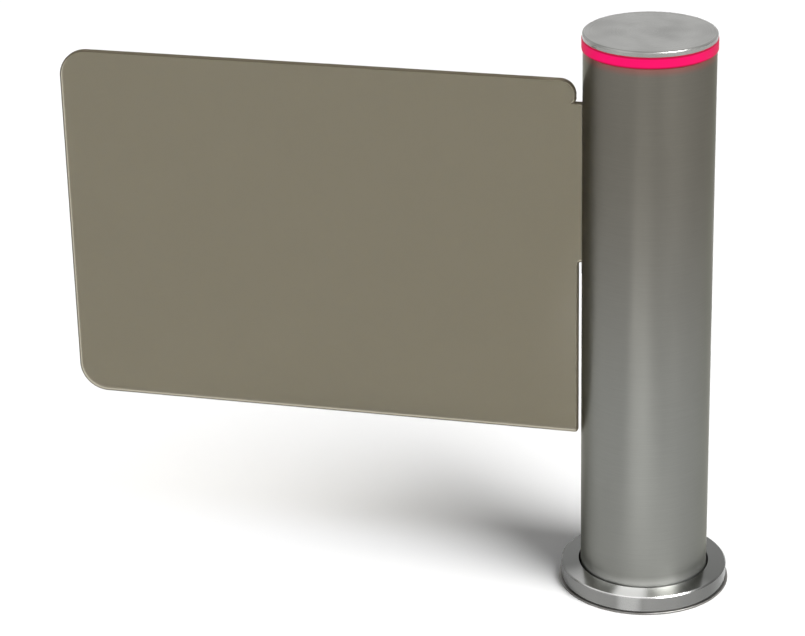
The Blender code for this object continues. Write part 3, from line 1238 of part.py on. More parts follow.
def lamp_cable():
    """Lamp cable as one piece, from the board to the driver's edge."""
    bend = LAMP_CABLE_BEND
    run_x = (TOP_CABLE_HOLE_RADIUS - LAMP_CABLE_RADIUS) / 2
    low_z = LAMP_CABLE_ENTRY_HEIGHT
    high_z = TOP_PLATE_TOP + bend
    end_x = DRIVER_REACH - DRIVER_LENGTH / 2 - FIT_GAP
    points = [(BOARD_REACH - FIT_GAP, 0, low_z)]
    points += [(x, 0, z) for x, z in arc_points((run_x + bend, low_z + bend), bend, -math.pi / 2, -math.pi,
                                                CORNER_STEPS)]
    points += [(x, 0, z) for x, z in arc_points((run_x + bend / 2, high_z), bend / 2, math.pi, math.pi / 2,
                                                CORNER_STEPS)]
    drop = high_z + bend / 2 - (TOP_PLATE_TOP + FIT_GAP + DRIVER_THICKNESS + LAMP_CABLE_RADIUS)
    points.append((end_x - drop / 2, 0, high_z + bend / 2 - drop / 2))
    points.append((end_x, 0, high_z + bend / 2 - drop))
    return tube_path("lamp_cable", points, LAMP_CABLE_RADIUS, black_rubber())


def motor_cable():
    """Short cable from the brake's cover up into the control box."""
    bottom = BRAKE_TOP + FIT_GAP
    top = BOX_BOTTOM_HEIGHT + BOX_WALL + CUT_OVERRUN
    steps = CORNER_STEPS
    points = [(DRIVE_REACH, 0, bottom + (top - bottom) * step / steps) for step in range(steps + 1)]
    return tube_path("motor_cable", points, MOTOR_CABLE_RADIUS, black_rubber())


def top_plate():
    """Plate on the mast's top, with a rim that carries the light ring."""
    plug_radius = MAST_BORE_RADIUS - FIT_GAP
    rim_top = LIGHT_RING_HEIGHT_ABOVE_FLOOR - FIT_GAP
    rim_inner = TOP_PLATE_RADIUS - TOP_RIM_WIDTH
    profile = [(TOP_CABLE_HOLE_RADIUS, MAST_TOP_HEIGHT - TOP_PLUG_LENGTH),
               (plug_radius, MAST_TOP_HEIGHT - TOP_PLUG_LENGTH), (plug_radius, TOP_PLATE_HEIGHT),
               (TOP_PLATE_RADIUS, TOP_PLATE_HEIGHT), (TOP_PLATE_RADIUS, rim_top), (rim_inner, rim_top),
               (rim_inner, TOP_PLATE_TOP), (TOP_CABLE_HOLE_RADIUS, TOP_PLATE_TOP)]
    return turned("top_plate", profile, CORE_SIDES, cast_aluminium())


def light_ring():
    """Translucent ring between the tube and the cap, rounded at its outer edges."""
    bottom, top = LIGHT_RING_HEIGHT_ABOVE_FLOOR, LIGHT_RING_TOP
    radius, rounding = LIGHT_RING_RADIUS, LIGHT_RING_ROUND
    quarter = math.pi / 2
    steps = CORNER_STEPS // 2
    profile = [(LIGHT_RING_INNER_RADIUS, bottom)]
    profile += arc_points((radius - rounding, bottom + rounding), rounding, -quarter, 0, steps)
    profile += arc_points((radius - rounding, top - rounding), rounding, 0, quarter, steps)
    profile.append((LIGHT_RING_INNER_RADIUS, top))
    return turned("light_ring", profile, SKIN_SIDES, red_diffuser())


def lamp_carrier():
    """Aluminium ring that holds the lamp strip and centres the cap."""
    profile = ring_profile(CARRIER_INNER_RADIUS, CARRIER_RADIUS, TOP_PLATE_TOP + FIT_GAP, CARRIER_TOP)
    return turned("lamp_carrier", profile, CORE_SIDES, cast_aluminium())


def lamp_strip():
    """Strip round the carrier with its row of lamps facing the light ring."""
    middle = (LIGHT_RING_HEIGHT_ABOVE_FLOOR + LIGHT_RING_TOP) / 2
    profile = ring_profile(STRIP_RADIUS - STRIP_THICKNESS, STRIP_RADIUS,
                           middle - STRIP_HEIGHT / 2, middle + STRIP_HEIGHT / 2)
    strip = turned("lamp_strip", profile, CORE_SIDES, white_nylon())
    shape = bmesh.new()
    size = Matrix.Diagonal((2 * LAMP_DEPTH, LAMP_SIZE, LAMP_SIZE, 1))
    for angle in angles(LAMP_COUNT):
        place = Matrix.Rotation(angle, 4, "Z") @ Matrix.Translation((STRIP_RADIUS, 0, middle))
        bmesh.ops.create_cube(shape, size=1, matrix=place @ size)
    lamps = add_object("strip_lamps", close_mesh("strip_lamps", shape))
    return join(strip, lamps)


def lamp_driver():
    """Small board on the top plate that feeds the lamp strip."""
    bottom = TOP_PLATE_TOP + FIT_GAP
    face = bottom + DRIVER_THICKNESS
    board = block("lamp_driver", (DRIVER_REACH - DRIVER_LENGTH / 2, -DRIVER_WIDTH / 2, bottom),
                  (DRIVER_REACH + DRIVER_LENGTH / 2, DRIVER_WIDTH / 2, face), board_green())
    chip = block("driver_chip", (DRIVER_REACH - DRIVER_CHIP_SIZE / 2, -DRIVER_CHIP_SIZE / 2,
                                 bottom + DRIVER_THICKNESS / 2),
                 (DRIVER_REACH + DRIVER_CHIP_SIZE / 2, DRIVER_CHIP_SIZE / 2, face + DRIVER_CHIP_DEPTH))
    return join(board, chip)


def top_cap():
    """Metal cap with a rounded edge, a rim on the light ring and a skirt inside the carrier."""
    quarter = math.pi / 2
    skirt_outer = CARRIER_INNER_RADIUS - RUNNING_GAP
    skirt_inner = skirt_outer - CAP_SKIRT_WALL
    under = CAP_TOP - CAP_WALL
    profile = [(0, CAP_TOP)]
    profile += arc_points((CAP_RADIUS - CAP_EDGE_ROUND, CAP_TOP - CAP_EDGE_ROUND), CAP_EDGE_ROUND,
                          quarter, 0, CORNER_STEPS)
    profile += [(CAP_RADIUS, CAP_BOTTOM), (LIGHT_RING_INNER_RADIUS, CAP_BOTTOM),
                (LIGHT_RING_INNER_RADIUS, under), (skirt_outer, under),
                (skirt_outer, under - CAP_SKIRT_DEPTH),
                (skirt_inner, under - CAP_SKIRT_DEPTH), (skirt_inner, under), (0, under)]
    return turned("top_cap", profile, SKIN_SIDES, satin_steel(), closed_ring=False)


def build_fixed_parts():
    """Everything that stands still: base, mast, bearings' inner races, drive, controls and top."""
    base_plate()
    cable_grommet()
    base_cover()
    mast()
    mast_bolts()
    mast_nut()
    motor_bracket()
    gearbox()
    gearbox_screws()
    motor()
    motor_brake()
    position_sensor()
    stop_blocks()
    box_bracket()
    control_box()
    control_lid()
    circuit_board()
    motor_cable()
    lamp_cable()
    top_plate()
    light_ring()
    lamp_carrier()
    lamp_strip()
    lamp_driver()
    top_cap()


def build_turning_parts():
    """Bearings, hubs, tube and wing, on the post's axis."""
    wing = moving_frame("wing_axis")
    lower_cage = moving_frame("lower_cage_axis")
    upper_cage = moving_frame("upper_cage_axis")
    _, lower_outer = bearing_races("lower", LOWER_BEARING_HEIGHT)
    _, upper_outer = bearing_races("upper", UPPER_BEARING_HEIGHT)
    carry(lower_cage, [ball_cage("lower", LOWER_BEARING_HEIGHT)])
    carry(upper_cage, [ball_cage("upper", UPPER_BEARING_HEIGHT)])
    turning = [lower_outer, upper_outer, lower_hub(), upper_hub(), ring_gear(), post_tube(), slot_trim(),
               wing_panel(), clamp_pad(), sensor_vane()]
    turning += gear_screws() + panel_bushes() + clamp_bolts()
    for name, side in (("front", -1), ("rear", 1)):
        turning.append(clamp_cheek(f"clamp_cheek_{name}", side))
    carry(wing, turning)


def build_pinion():
    """Pinion and drive shaft, on the drive's own axis."""
    place = (DRIVE_REACH, 0, 0)
    frame = moving_frame("pinion_axis", place)
    carry(frame, [pinion(place), drive_shaft(place)])


def main():
    """Build the whole gate."""
    clear_scene()
    build_fixed_parts()
    build_turning_parts()
    build_pinion()


main()
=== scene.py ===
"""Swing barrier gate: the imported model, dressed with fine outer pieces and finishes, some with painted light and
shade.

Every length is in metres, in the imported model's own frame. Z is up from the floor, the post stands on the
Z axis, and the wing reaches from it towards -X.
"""

import logging
import math
from collections.abc import Callable, Sequence
from dataclasses import dataclass
from enum import Enum
from functools import cache

import bmesh
import bpy
from bpy.types import Material, Node, NodeSocket, Object, World
from mathutils import Matrix, Vector


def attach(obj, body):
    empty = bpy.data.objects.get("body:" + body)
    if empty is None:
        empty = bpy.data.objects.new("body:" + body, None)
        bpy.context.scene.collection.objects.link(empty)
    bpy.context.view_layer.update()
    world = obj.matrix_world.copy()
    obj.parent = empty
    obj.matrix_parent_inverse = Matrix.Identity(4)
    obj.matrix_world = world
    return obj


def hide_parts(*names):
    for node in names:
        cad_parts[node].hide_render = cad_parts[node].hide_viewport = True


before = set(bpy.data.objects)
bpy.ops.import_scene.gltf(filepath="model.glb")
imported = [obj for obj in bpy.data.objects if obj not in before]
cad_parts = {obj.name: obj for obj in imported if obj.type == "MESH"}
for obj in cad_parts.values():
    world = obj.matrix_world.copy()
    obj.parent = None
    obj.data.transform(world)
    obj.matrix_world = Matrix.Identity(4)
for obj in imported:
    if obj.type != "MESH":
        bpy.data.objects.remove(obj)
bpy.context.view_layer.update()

LOG = logging.getLogger("swing_barrier_gate")

Point = tuple[float, float]
Colour = tuple[float, float, float]
Triple = tuple[float, float, float]

MERGE_GAP = 0.00001
SMOOTH_LIMIT = math.radians(30.0)
BREAK_LIMIT = math.radians(40.0)
QUARTER = math.pi / 2
HOLE_SIDES = 48
START_SIZE = 0.01
SENSOR_WIDTH = 36.0
RISING: Point = (0.0, 1.0)
FALLING: Point = (1.0, 0.0)
MID_NOISE: Point = (0.3, 0.7)
WHITE: Colour = (1.0, 1.0, 1.0)


class Body(Enum):
    """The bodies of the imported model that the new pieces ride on."""

    STANDING = "root"
    TURNING = "wing"


class Slot(Enum):
    """The record's material slots."""

    BRUSHED_STEEL = "brushed_steel"
    POLISHED_STEEL = "polished_steel"
    SATIN_STEEL = "satin_steel"
    PLAIN_STEEL = "plain_steel"
    BEARING_STEEL = "bearing_steel"
    FASTENER_STEEL = "fastener_steel"
    CAST_ALUMINIUM = "cast_aluminium"
    MOTOR_PAINT = "motor_paint"
    BLACK_RUBBER = "black_rubber"
    WHITE_NYLON = "white_nylon"
    GREY_PLASTIC = "grey_plastic"
    BOARD_GREEN = "board_green"
    BRONZE_SHEET = "bronze_sheet"
    RED_DIFFUSER = "red_diffuser"


class Element(Enum):
    """What is selected in edit mode."""

    POINTS = "VERT"
    FACES = "FACE"


class Grain(Enum):
    """How the fine marks of a surface lie, as marks to the metre along X, Y and Z."""

    ROUND_THE_POST = (16.0, 16.0, 1400.0)
    EVEN = (260.0,) * 3
    TURNED = (1100.0, 0.0, 1100.0)
    PAINT_SKIN = (700.0,) * 3
    RUBBER_SKIN = (900.0,) * 3
    NYLON_SKIN = (600.0,) * 3
    PLASTIC_SKIN = (1100.0,) * 3


# node bench


class NodeBench:
    """Lays out the shader nodes of one material, or of the sky."""

    def __init__(self, holder: Material | World) -> None:
        """Clear the nodes of a new material or world.

        Args:
            holder: The material or the world.
        """
        holder.use_nodes = True
        self.holder = holder
        self.tree = holder.node_tree
        self.tree.nodes.clear()
        kind = "World" if isinstance(holder, World) else "Material"
        self.output = self.add(f"ShaderNodeOutput{kind}")

    def add(self, kind: str, **settings: object) -> Node:
        """Add a node.

        Args:
            kind: The node's type.
            **settings: Properties that are set on it.

        Returns:
            The new node.
        """
        node = self.tree.nodes.new(kind)
        for setting, value in settings.items():
            setattr(node, setting, value)
        return node

    def feed(self, target: NodeSocket, value: object) -> None:
        """Fill an input.

        Args:
            target: The input.
            value: An output to join to it, or its plain value. Plain colours come without their alpha.
        """
        if isinstance(value, NodeSocket):
            self.tree.links.new(value, target)
        else:
            target.default_value = (*value, 1.0) if target.type == "RGBA" else value

    def fill(self, node: Node, **values: object) -> Node:
        """Fill inputs of a node by their names.

        Args:
            node: The node.
            **values: What fills them, with underscores for the spaces in their names.

        Returns:
            The node.
        """
        for name, value in values.items():
            self.feed(node.inputs[name.replace("_", " ")], value)
        return node

    def finish(self, shader: NodeSocket) -> Material | World:
        """Join the last shader to the output.

        Args:
            shader: The shader's output.

        Returns:
            The finished material or world.
        """
        self.fill(self.output, Surface=shader)
        return self.holder

    def ray(self, kind: str) -> NodeSocket:
        """1 for one kind of ray, such as Is Glossy Ray, and 0 for the others."""
        return self.add("ShaderNodeLightPath").outputs[kind]

    def place(self, scale: Triple) -> NodeSocket:
        """Object coordinates, scaled.

        Args:
            scale: The factor along X, Y and Z.

        Returns:
            The scaled coordinates.
        """
        coordinates = self.add("ShaderNodeTexCoord").outputs["Object"]
        return self.fill(self.add("ShaderNodeMapping"), Vector=coordinates, Scale=scale).outputs["Vector"]

    def axis(self, name: str, place: NodeSocket | None = None) -> NodeSocket:
        """One of the coordinates.

        Args:
            name: X, Y or Z.
            place: The coordinates, or nothing for the object's own.

        Returns:
            That coordinate.
        """
        split = self.fill(self.add("ShaderNodeSeparateXYZ"), Vector=place or self.place((1.0, 1.0, 1.0)))
        return split.outputs[name]

    def maths(self, operation: str, first: NodeSocket, second: NodeSocket | float) -> NodeSocket:
        """Reckon with two values.

        Args:
            operation: What is done with them.
            first: The first value.
            second: The second value.

        Returns:
            The result.
        """
        node = self.add("ShaderNodeMath", operation=operation)
        self.feed(node.inputs[0], first)
        self.feed(node.inputs[1], second)
        return node.outputs["Value"]

    def turned_place(self, scale: Triple) -> NodeSocket:
        """Coordinates whose first part is the distance from the Z axis.

        Args:
            scale: The factors for the distance, unused, and for the height.

        Returns:
            The coordinates for marks that run round the axis.
        """
        reach = self.add("ShaderNodeVectorMath", operation="LENGTH")
        self.feed(reach.inputs[0], self.place((scale[0], scale[0], 0.0)))
        height = self.maths("MULTIPLY", self.axis("Z"), scale[2])
        return self.fill(self.add("ShaderNodeCombineXYZ"), X=reach.outputs["Value"], Z=height).outputs["Vector"]

    def noise(self, place: NodeSocket, detail: float = 4.0, roughness: float = 0.6, scale: float = 1.0) -> NodeSocket:
        """Soft noise.

        Args:
            place: The coordinates.
            detail: How many finer layers it has.
            roughness: How strong the finer layers are.
            scale: The factor for coordinates that aren't scaled yet.

        Returns:
            The noise from 0 to 1.
        """
        noise = self.add("ShaderNodeTexNoise")
        return self.fill(noise, Vector=place, Scale=scale, Detail=detail, Roughness=roughness).outputs["Fac"]

    def spread(self, value: NodeSocket, source: Point, target: Point) -> NodeSocket:
        """Carry a value from one range to another, smoothly at its ends.

        Args:
            value: The value.
            source: The range that it comes from.
            target: The range that it goes to.

        Returns:
            The value in the new range.
        """
        spread = self.fill(self.add("ShaderNodeMapRange", interpolation_type="SMOOTHSTEP"), Value=value,
                           From_Min=source[0], From_Max=source[1], To_Min=target[0], To_Max=target[1])
        return spread.outputs["Result"]

    def blend(self, share: NodeSocket | float, first: Colour | NodeSocket, second: Colour | NodeSocket,
              how: str = "MIX") -> NodeSocket:
        """Blend two colours.

        Args:
            share: How much of the second colour shows.
            first: A colour, or the output that gives it.
            second: A colour, or the output that gives it.
            how: The way of blending.

        Returns:
            The blended colour.
        """
        blend = self.add("ShaderNodeMix", data_type="RGBA", blend_type=how)
        for socket, value in zip((blend.inputs["Factor"], *blend.inputs[6:8]), (share, first, second)):
            self.feed(socket, value)
        return blend.outputs[2]

    def relief(self, height: NodeSocket, depth: float) -> NodeSocket:
        """Turn a height from 0 to 1 into a bumpy normal, to a depth in metres."""
        return self.fill(self.add("ShaderNodeBump"), Strength=1.0, Distance=depth, Height=height).outputs["Normal"]

    def layer(self, share: NodeSocket, first: NodeSocket, second: NodeSocket) -> NodeSocket:
        """Mix two shaders.

        Args:
            share: How much of the second shader shows.
            first: A shader.
            second: A shader.

        Returns:
            The mixed shader.
        """
        mixed = self.add("ShaderNodeMixShader")
        for socket, value in zip(mixed.inputs, (share, first, second)):
            self.feed(socket, value)
        return mixed.outputs["Shader"]

    def glow(self, kind: str, colour: Colour | NodeSocket, strength: float | NodeSocket) -> NodeSocket:
        """A shader of the given node type that gives off light of a colour and a strength."""
        return self.fill(self.add(kind), Color=colour, Strength=strength).outputs[0]

    def let_light_through(self, shader: NodeSocket, tint: Colour) -> NodeSocket:
        """Let the lamps shine through a surface, so that it hardly casts a shadow.

        Args:
            shader: The surface's shader.
            tint: How much light gets through.

        Returns:
            The shader that does both.
        """
        clear = self.fill(self.add("ShaderNodeBsdfTransparent"), Color=tint)
        return self.layer(self.ray("Is Shadow Ray"), shader, clear.outputs["BSDF"])

    def surface(self, **values: object) -> NodeSocket:
        """A main surface shader, with its inputs filled by their names."""
        return self.fill(self.add("ShaderNodeBsdfPrincipled"), **values).outputs["BSDF"]


# finishes


@dataclass(frozen=True)
class MetalFinish:
    """Bare metal with fine marks and a soft change of tone."""

    name: str
    tone: Colour
    dull_tone: Colour
    shine: Point
    grain: Grain
    mark_depth: float
    stain_scale: float
    stain_detail: float = 2.0
    stain_span: Point = MID_NOISE
    mark_detail: float = 5.0
    mark_roughness: float = 0.7
    metallic: float = 1.0

    def material(self) -> Material:
        """Make the material.

        Returns:
            The finished material.
        """
        bench = NodeBench(bpy.data.materials.new(self.name))
        place = bench.turned_place if self.grain is Grain.TURNED else bench.place
        marks = bench.noise(place(self.grain.value), self.mark_detail, self.mark_roughness)
        stains = bench.spread(bench.noise(bench.place((self.stain_scale,) * 3), self.stain_detail),
                              self.stain_span, RISING)
        return bench.finish(bench.surface(
            Metallic=self.metallic, Base_Color=bench.blend(stains, self.tone, self.dull_tone),
            Roughness=bench.spread(marks, MID_NOISE, self.shine), Normal=bench.relief(marks, self.mark_depth)))


@dataclass(frozen=True)
class CoatFinish(MetalFinish):
    """Paint, rubber or moulded plastic with a fine skin and slight changes of tone."""

    stain_scale: float = 22.0
    stain_detail: float = 5.0
    stain_span: Point = (0.35, 0.75)
    mark_detail: float = 3.0
    mark_roughness: float = 0.5
    metallic: float = 0.0


@dataclass(frozen=True)
class CoverFinish:
    """Polished steel of the base cover, with a painted highlight on its top and front and a painted stripe of light.
    """

    name: str = "polished_steel_cover"
    # Tones painted lighter as a highlight in the front sector, on the side and on top, and the tones beside that
    # highlight.
    painted_highlight_side_tone: Colour = (0.235, 0.235, 0.228)
    side_tone_beside_highlight: Colour = (0.155, 0.157, 0.152)
    painted_highlight_top_tone: Colour = (0.66, 0.66, 0.65)
    top_tone_beside_highlight: Colour = (0.130, 0.132, 0.127)
    shoulder: Point = (0.0290, 0.0316)
    # Span of the painted highlight in front, the scale of its noise and how much of it shows.
    painted_highlight_fan: Point = (-1.0, -0.35)
    painted_highlight_scale: float = 2.5
    painted_highlight_share: Point = (0.7, 1.0)
    # A painted narrow stripe of light in front, on top and fainter on the side: its colour, spans and shares.
    painted_streak_tone: Colour = (0.85, 0.85, 0.84)
    painted_top_streak: Point = (-1.0, -0.955)
    painted_side_streak: Point = (-1.0, -0.985)
    painted_side_streak_share: float = 0.25
    painted_streak_share: float = 0.6
    shine: Point = (0.14, 0.22)
    mark_depth: float = 0.000003

    def material(self) -> Material:
        """Make the material.

        Returns:
            The finished material.
        """
        bench = NodeBench(bpy.data.materials.new(self.name))
        marks = bench.noise(bench.turned_place(Grain.TURNED.value), detail=5.0, roughness=0.7)
        on_top = bench.spread(bench.axis("Z"), self.shoulder, RISING)
        outward = bench.add("ShaderNodeVectorMath", operation="NORMALIZE")
        bench.feed(outward.inputs[0], bench.place((1.0, 1.0, 0.0)))
        front = bench.axis("Y", outward.outputs["Vector"])
        painted_highlight_noise = bench.noise(outward.outputs["Vector"], detail=2.0, scale=self.painted_highlight_scale)
        # Painted highlight: a lighter sector in front, varied by noise.
        painted_highlight_mask = bench.maths("MULTIPLY", bench.spread(front, self.painted_highlight_fan, FALLING),
                             bench.spread(painted_highlight_noise, MID_NOISE, self.painted_highlight_share))
        # The top carries the stronger painted highlight.
        tone = bench.blend(painted_highlight_mask, bench.blend(on_top, self.side_tone_beside_highlight, self.top_tone_beside_highlight),
                           bench.blend(on_top, self.painted_highlight_side_tone, self.painted_highlight_top_tone))
        # Painted stripe of light in front, fainter on the side.
        both = bench.fill(bench.add("ShaderNodeMix", data_type="FLOAT"), Factor=on_top)
        bench.feed(both.inputs[2], bench.spread(front, self.painted_side_streak, (self.painted_side_streak_share, 0.0)))
        bench.feed(both.inputs[3], bench.spread(front, self.painted_top_streak, FALLING))
        painted_streak = both.outputs[0]
        # The painted stripe lowers the metallic share and lightens the colour.
        return bench.finish(bench.surface(
            Metallic=bench.spread(painted_streak, RISING, (1.0, 1.0 - self.painted_streak_share)),
            Base_Color=bench.blend(painted_streak, tone, self.painted_streak_tone),
            Roughness=bench.spread(marks, MID_NOISE, self.shine), Normal=bench.relief(marks, self.mark_depth)))


@dataclass(frozen=True)
class TubeFinish:
    """Brushed steel of the post, with painted shade up high, a painted reflection at the foot and a painted red glow.
    """

    name: str = "brushed_steel_of_the_post"
    low_tone: Colour = (0.212, 0.215, 0.200)
    # Painted shade: the tone is painted darker up high.
    painted_shade_high_tone: Colour = (0.140, 0.132, 0.112)
    # Painted reflection of the cover: the tone is painted lighter at the foot.
    painted_reflection_foot_tone: Colour = (0.40, 0.405, 0.385)
    # Painted red glow of the lit ring, at the tube's upper rim.
    painted_glow_tone: Colour = (0.28, 0.095, 0.085)
    streak_span: Point = (0.35, 0.65)
    streak_tones: Point = (0.965, 1.03)
    patch_scale: Triple = (7.0, 7.0, 2.5)
    shine: Point = (0.30, 0.42)
    # Heights over which the painted shade, the painted reflection at the foot and the painted glow come in.
    painted_shade_span: Point = (0.24, 0.86)
    foot: Point = (0.034, 0.054)
    glow: Point = (0.951, 0.969)
    painted_glow_share: float = 0.8
    brushing: float = 0.65
    brush_turn: float = 0.25
    rim_tint: Colour = (0.65, 0.65, 0.6)
    mark_depth: float = 0.00001

    def material(self) -> Material:
        """Make the material.

        Returns:
            The finished material.
        """
        bench = NodeBench(bpy.data.materials.new(self.name))
        height = bench.axis("Z")
        marks = bench.noise(bench.place(Grain.ROUND_THE_POST.value), detail=6.0, roughness=0.7)
        patches = bench.noise(bench.place(self.patch_scale), detail=2.0)
        # Painted shade up high.
        tone = bench.blend(bench.spread(height, self.painted_shade_span, RISING), self.low_tone, self.painted_shade_high_tone)
        # Painted reflection of the cover at the foot.
        tone = bench.blend(bench.spread(height, self.foot, FALLING), tone, self.painted_reflection_foot_tone)
        tone = bench.blend(1.0, tone, bench.spread(marks, self.streak_span, self.streak_tones), "MULTIPLY")
        # Painted red glow under the lit ring.
        tone = bench.blend(bench.spread(height, self.glow, (0.0, self.painted_glow_share)), tone, self.painted_glow_tone)
        tangent = bench.add("ShaderNodeTangent", direction_type="RADIAL", axis="Z").outputs["Tangent"]
        return bench.finish(bench.surface(
            Metallic=1.0, Anisotropic=self.brushing, Anisotropic_Rotation=self.brush_turn, Tangent=tangent,
            Specular_Tint=self.rim_tint, Base_Color=tone, Roughness=bench.spread(patches, MID_NOISE, self.shine),
            Normal=bench.relief(marks, self.mark_depth)))


@dataclass(frozen=True)
class BoardFinish:
    """Printed board with its tracks under the green lacquer."""

    name: str = "printed_board"
    lacquer: Colour = (0.012, 0.10, 0.035)
    track: Colour = (0.05, 0.22, 0.07)
    track_scale: float = 160.0
    track_gap: float = 0.06
    track_height: float = 0.00003
    coat: float = 0.4
    dust_scale: float = 60.0
    shine: Point = (0.3, 0.5)

    def material(self) -> Material:
        """Make the material.

        Returns:
            The finished material.
        """
        bench = NodeBench(bpy.data.materials.new(self.name))
        upright = bench.fill(bench.add("ShaderNodeCombineXYZ"), X=bench.axis("Y"), Y=bench.axis("Z"))
        tracks = bench.fill(bench.add("ShaderNodeTexBrick", offset=0.5), Vector=upright.outputs["Vector"],
                            Scale=self.track_scale, Mortar_Size=self.track_gap).outputs["Fac"]
        dust = bench.noise(bench.place((self.dust_scale,) * 3))
        return bench.finish(bench.surface(
            Coat_Weight=self.coat, Base_Color=bench.blend(tracks, self.lacquer, self.track),
            Roughness=bench.spread(dust, MID_NOISE, self.shine), Normal=bench.relief(tracks, self.track_height)))


@dataclass(frozen=True)
class SheetFinish:
    """Bronze-tinted clear sheet that lets the lamps through."""

    name: str = "bronze_sheet_face"
    tint: Colour = (0.165, 0.145, 0.096)
    faint_tint: Colour = (0.169, 0.149, 0.099)
    shadow_tint: Colour = (0.965, 0.96, 0.95)
    haze_scale: float = 3.0
    wipe_scale: Triple = (5.0, 5.0, 40.0)
    shine: Point = (0.0, 0.012)
    bending: float = 1.49

    def material(self) -> Material:
        """Make the material.

        Returns:
            The finished material.
        """
        bench = NodeBench(bpy.data.materials.new(self.name))
        haze = bench.noise(bench.place((self.haze_scale,) * 3), detail=2.0)
        wipes = bench.noise(bench.place(self.wipe_scale), detail=3.0)
        shader = bench.surface(Transmission_Weight=1.0, IOR=self.bending,
                               Base_Color=bench.blend(haze, self.tint, self.faint_tint),
                               Roughness=bench.spread(wipes, MID_NOISE, self.shine))
        return bench.finish(bench.let_light_through(shader, self.shadow_tint))


@dataclass(frozen=True)
class SheetEdgeFinish:
    """Rubbed edge of the tinted sheet: dark outside, with painted light by the post and a painted glow from inside."""

    name: str = "bronze_sheet_edge"
    tone: Colour = (0.108, 0.092, 0.064)
    rubbed_tone: Colour = (0.140, 0.121, 0.088)
    # A painted glow, shown only on the edge's inner side, as if light came through the sheet.
    painted_edge_glow_tone: Colour = (1.0, 0.99, 0.95)
    painted_edge_glow_strength: float = 1.1
    # Painted light: the edge is painted lighter near the post, where the post casts shade.
    painted_light_tone_by_post: Colour = (0.34, 0.30, 0.22)
    painted_light_span_by_post: Point = (-0.20, -0.13)
    shadow_tint: Colour = (0.80, 0.79, 0.77)
    rub_scale: Triple = (40.0, 900.0, 40.0)
    rub_depth: float = 0.00002
    shine: Point = (0.25, 0.4)

    def material(self) -> Material:
        """Make the material.

        Returns:
            The finished material.
        """
        bench = NodeBench(bpy.data.materials.new(self.name))
        rubbing = bench.noise(bench.place(self.rub_scale), detail=4.0)
        # Painted light near the post.
        painted_light_by_post = bench.spread(bench.axis("X"), self.painted_light_span_by_post, RISING)
        tone = bench.blend(painted_light_by_post, bench.blend(rubbing, self.tone, self.rubbed_tone), self.painted_light_tone_by_post)
        shader = bench.surface(Specular_IOR_Level=0.0, Base_Color=tone,
                               Roughness=bench.spread(rubbing, MID_NOISE, self.shine),
                               Normal=bench.relief(rubbing, self.rub_depth))
        # Painted glow, seen only from inside the sheet.
        painted_edge_glow = bench.glow("ShaderNodeEmission", self.painted_edge_glow_tone, self.painted_edge_glow_strength)
        inside = bench.add("ShaderNodeNewGeometry").outputs["Backfacing"]
        return bench.finish(bench.let_light_through(bench.layer(inside, shader, painted_edge_glow), self.shadow_tint))


@dataclass(frozen=True)
class LitRingFinish:
    """Red diffuser lit from inside, darker along its two rims and towards its sides."""

    name: str = "red_diffuser_lit"
    skin: Colour = (0.10, 0.004, 0.012)
    core: Colour = (0.92, 0.003, 0.145)
    faint_core: Colour = (0.8648, 0.003, 0.1363)
    rim: Colour = (0.42, 0.003, 0.040)
    low: float = 0.9681
    high: float = 0.9871
    rim_start: float = 0.0010
    rim_depth: float = 0.0040
    lamp_scale: Triple = (30.0, 30.0, 5.0)
    side_fade: float = 0.5
    side_span: Point = (0.2, 0.9)
    side_share: float = 0.8
    roughness: float = 0.5
    gloss: float = 0.05

    def material(self) -> Material:
        """Make the material.

        Returns:
            The finished material.
        """
        bench = NodeBench(bpy.data.materials.new(self.name))
        height = bench.axis("Z")
        below = bench.spread(height, (self.low + self.rim_start, self.low + self.rim_depth), FALLING)
        above = bench.spread(height, (self.high - self.rim_depth, self.high - self.rim_start), RISING)
        lamps = bench.noise(bench.place(self.lamp_scale), detail=1.0)
        turned = bench.fill(bench.add("ShaderNodeLayerWeight"), Blend=self.side_fade).outputs["Facing"]
        away = bench.maths("MAXIMUM", bench.maths("MAXIMUM", below, above),
                           bench.spread(turned, self.side_span, (0.0, self.side_share)))
        light = bench.blend(away, bench.blend(lamps, self.core, self.faint_core), self.rim)
        return bench.finish(bench.surface(
            Base_Color=self.skin, Roughness=self.roughness, Specular_IOR_Level=self.gloss,
            Emission_Strength=1.0, Emission_Color=light))


Finish = MetalFinish | CoverFinish | TubeFinish | BoardFinish | SheetFinish | SheetEdgeFinish | LitRingFinish

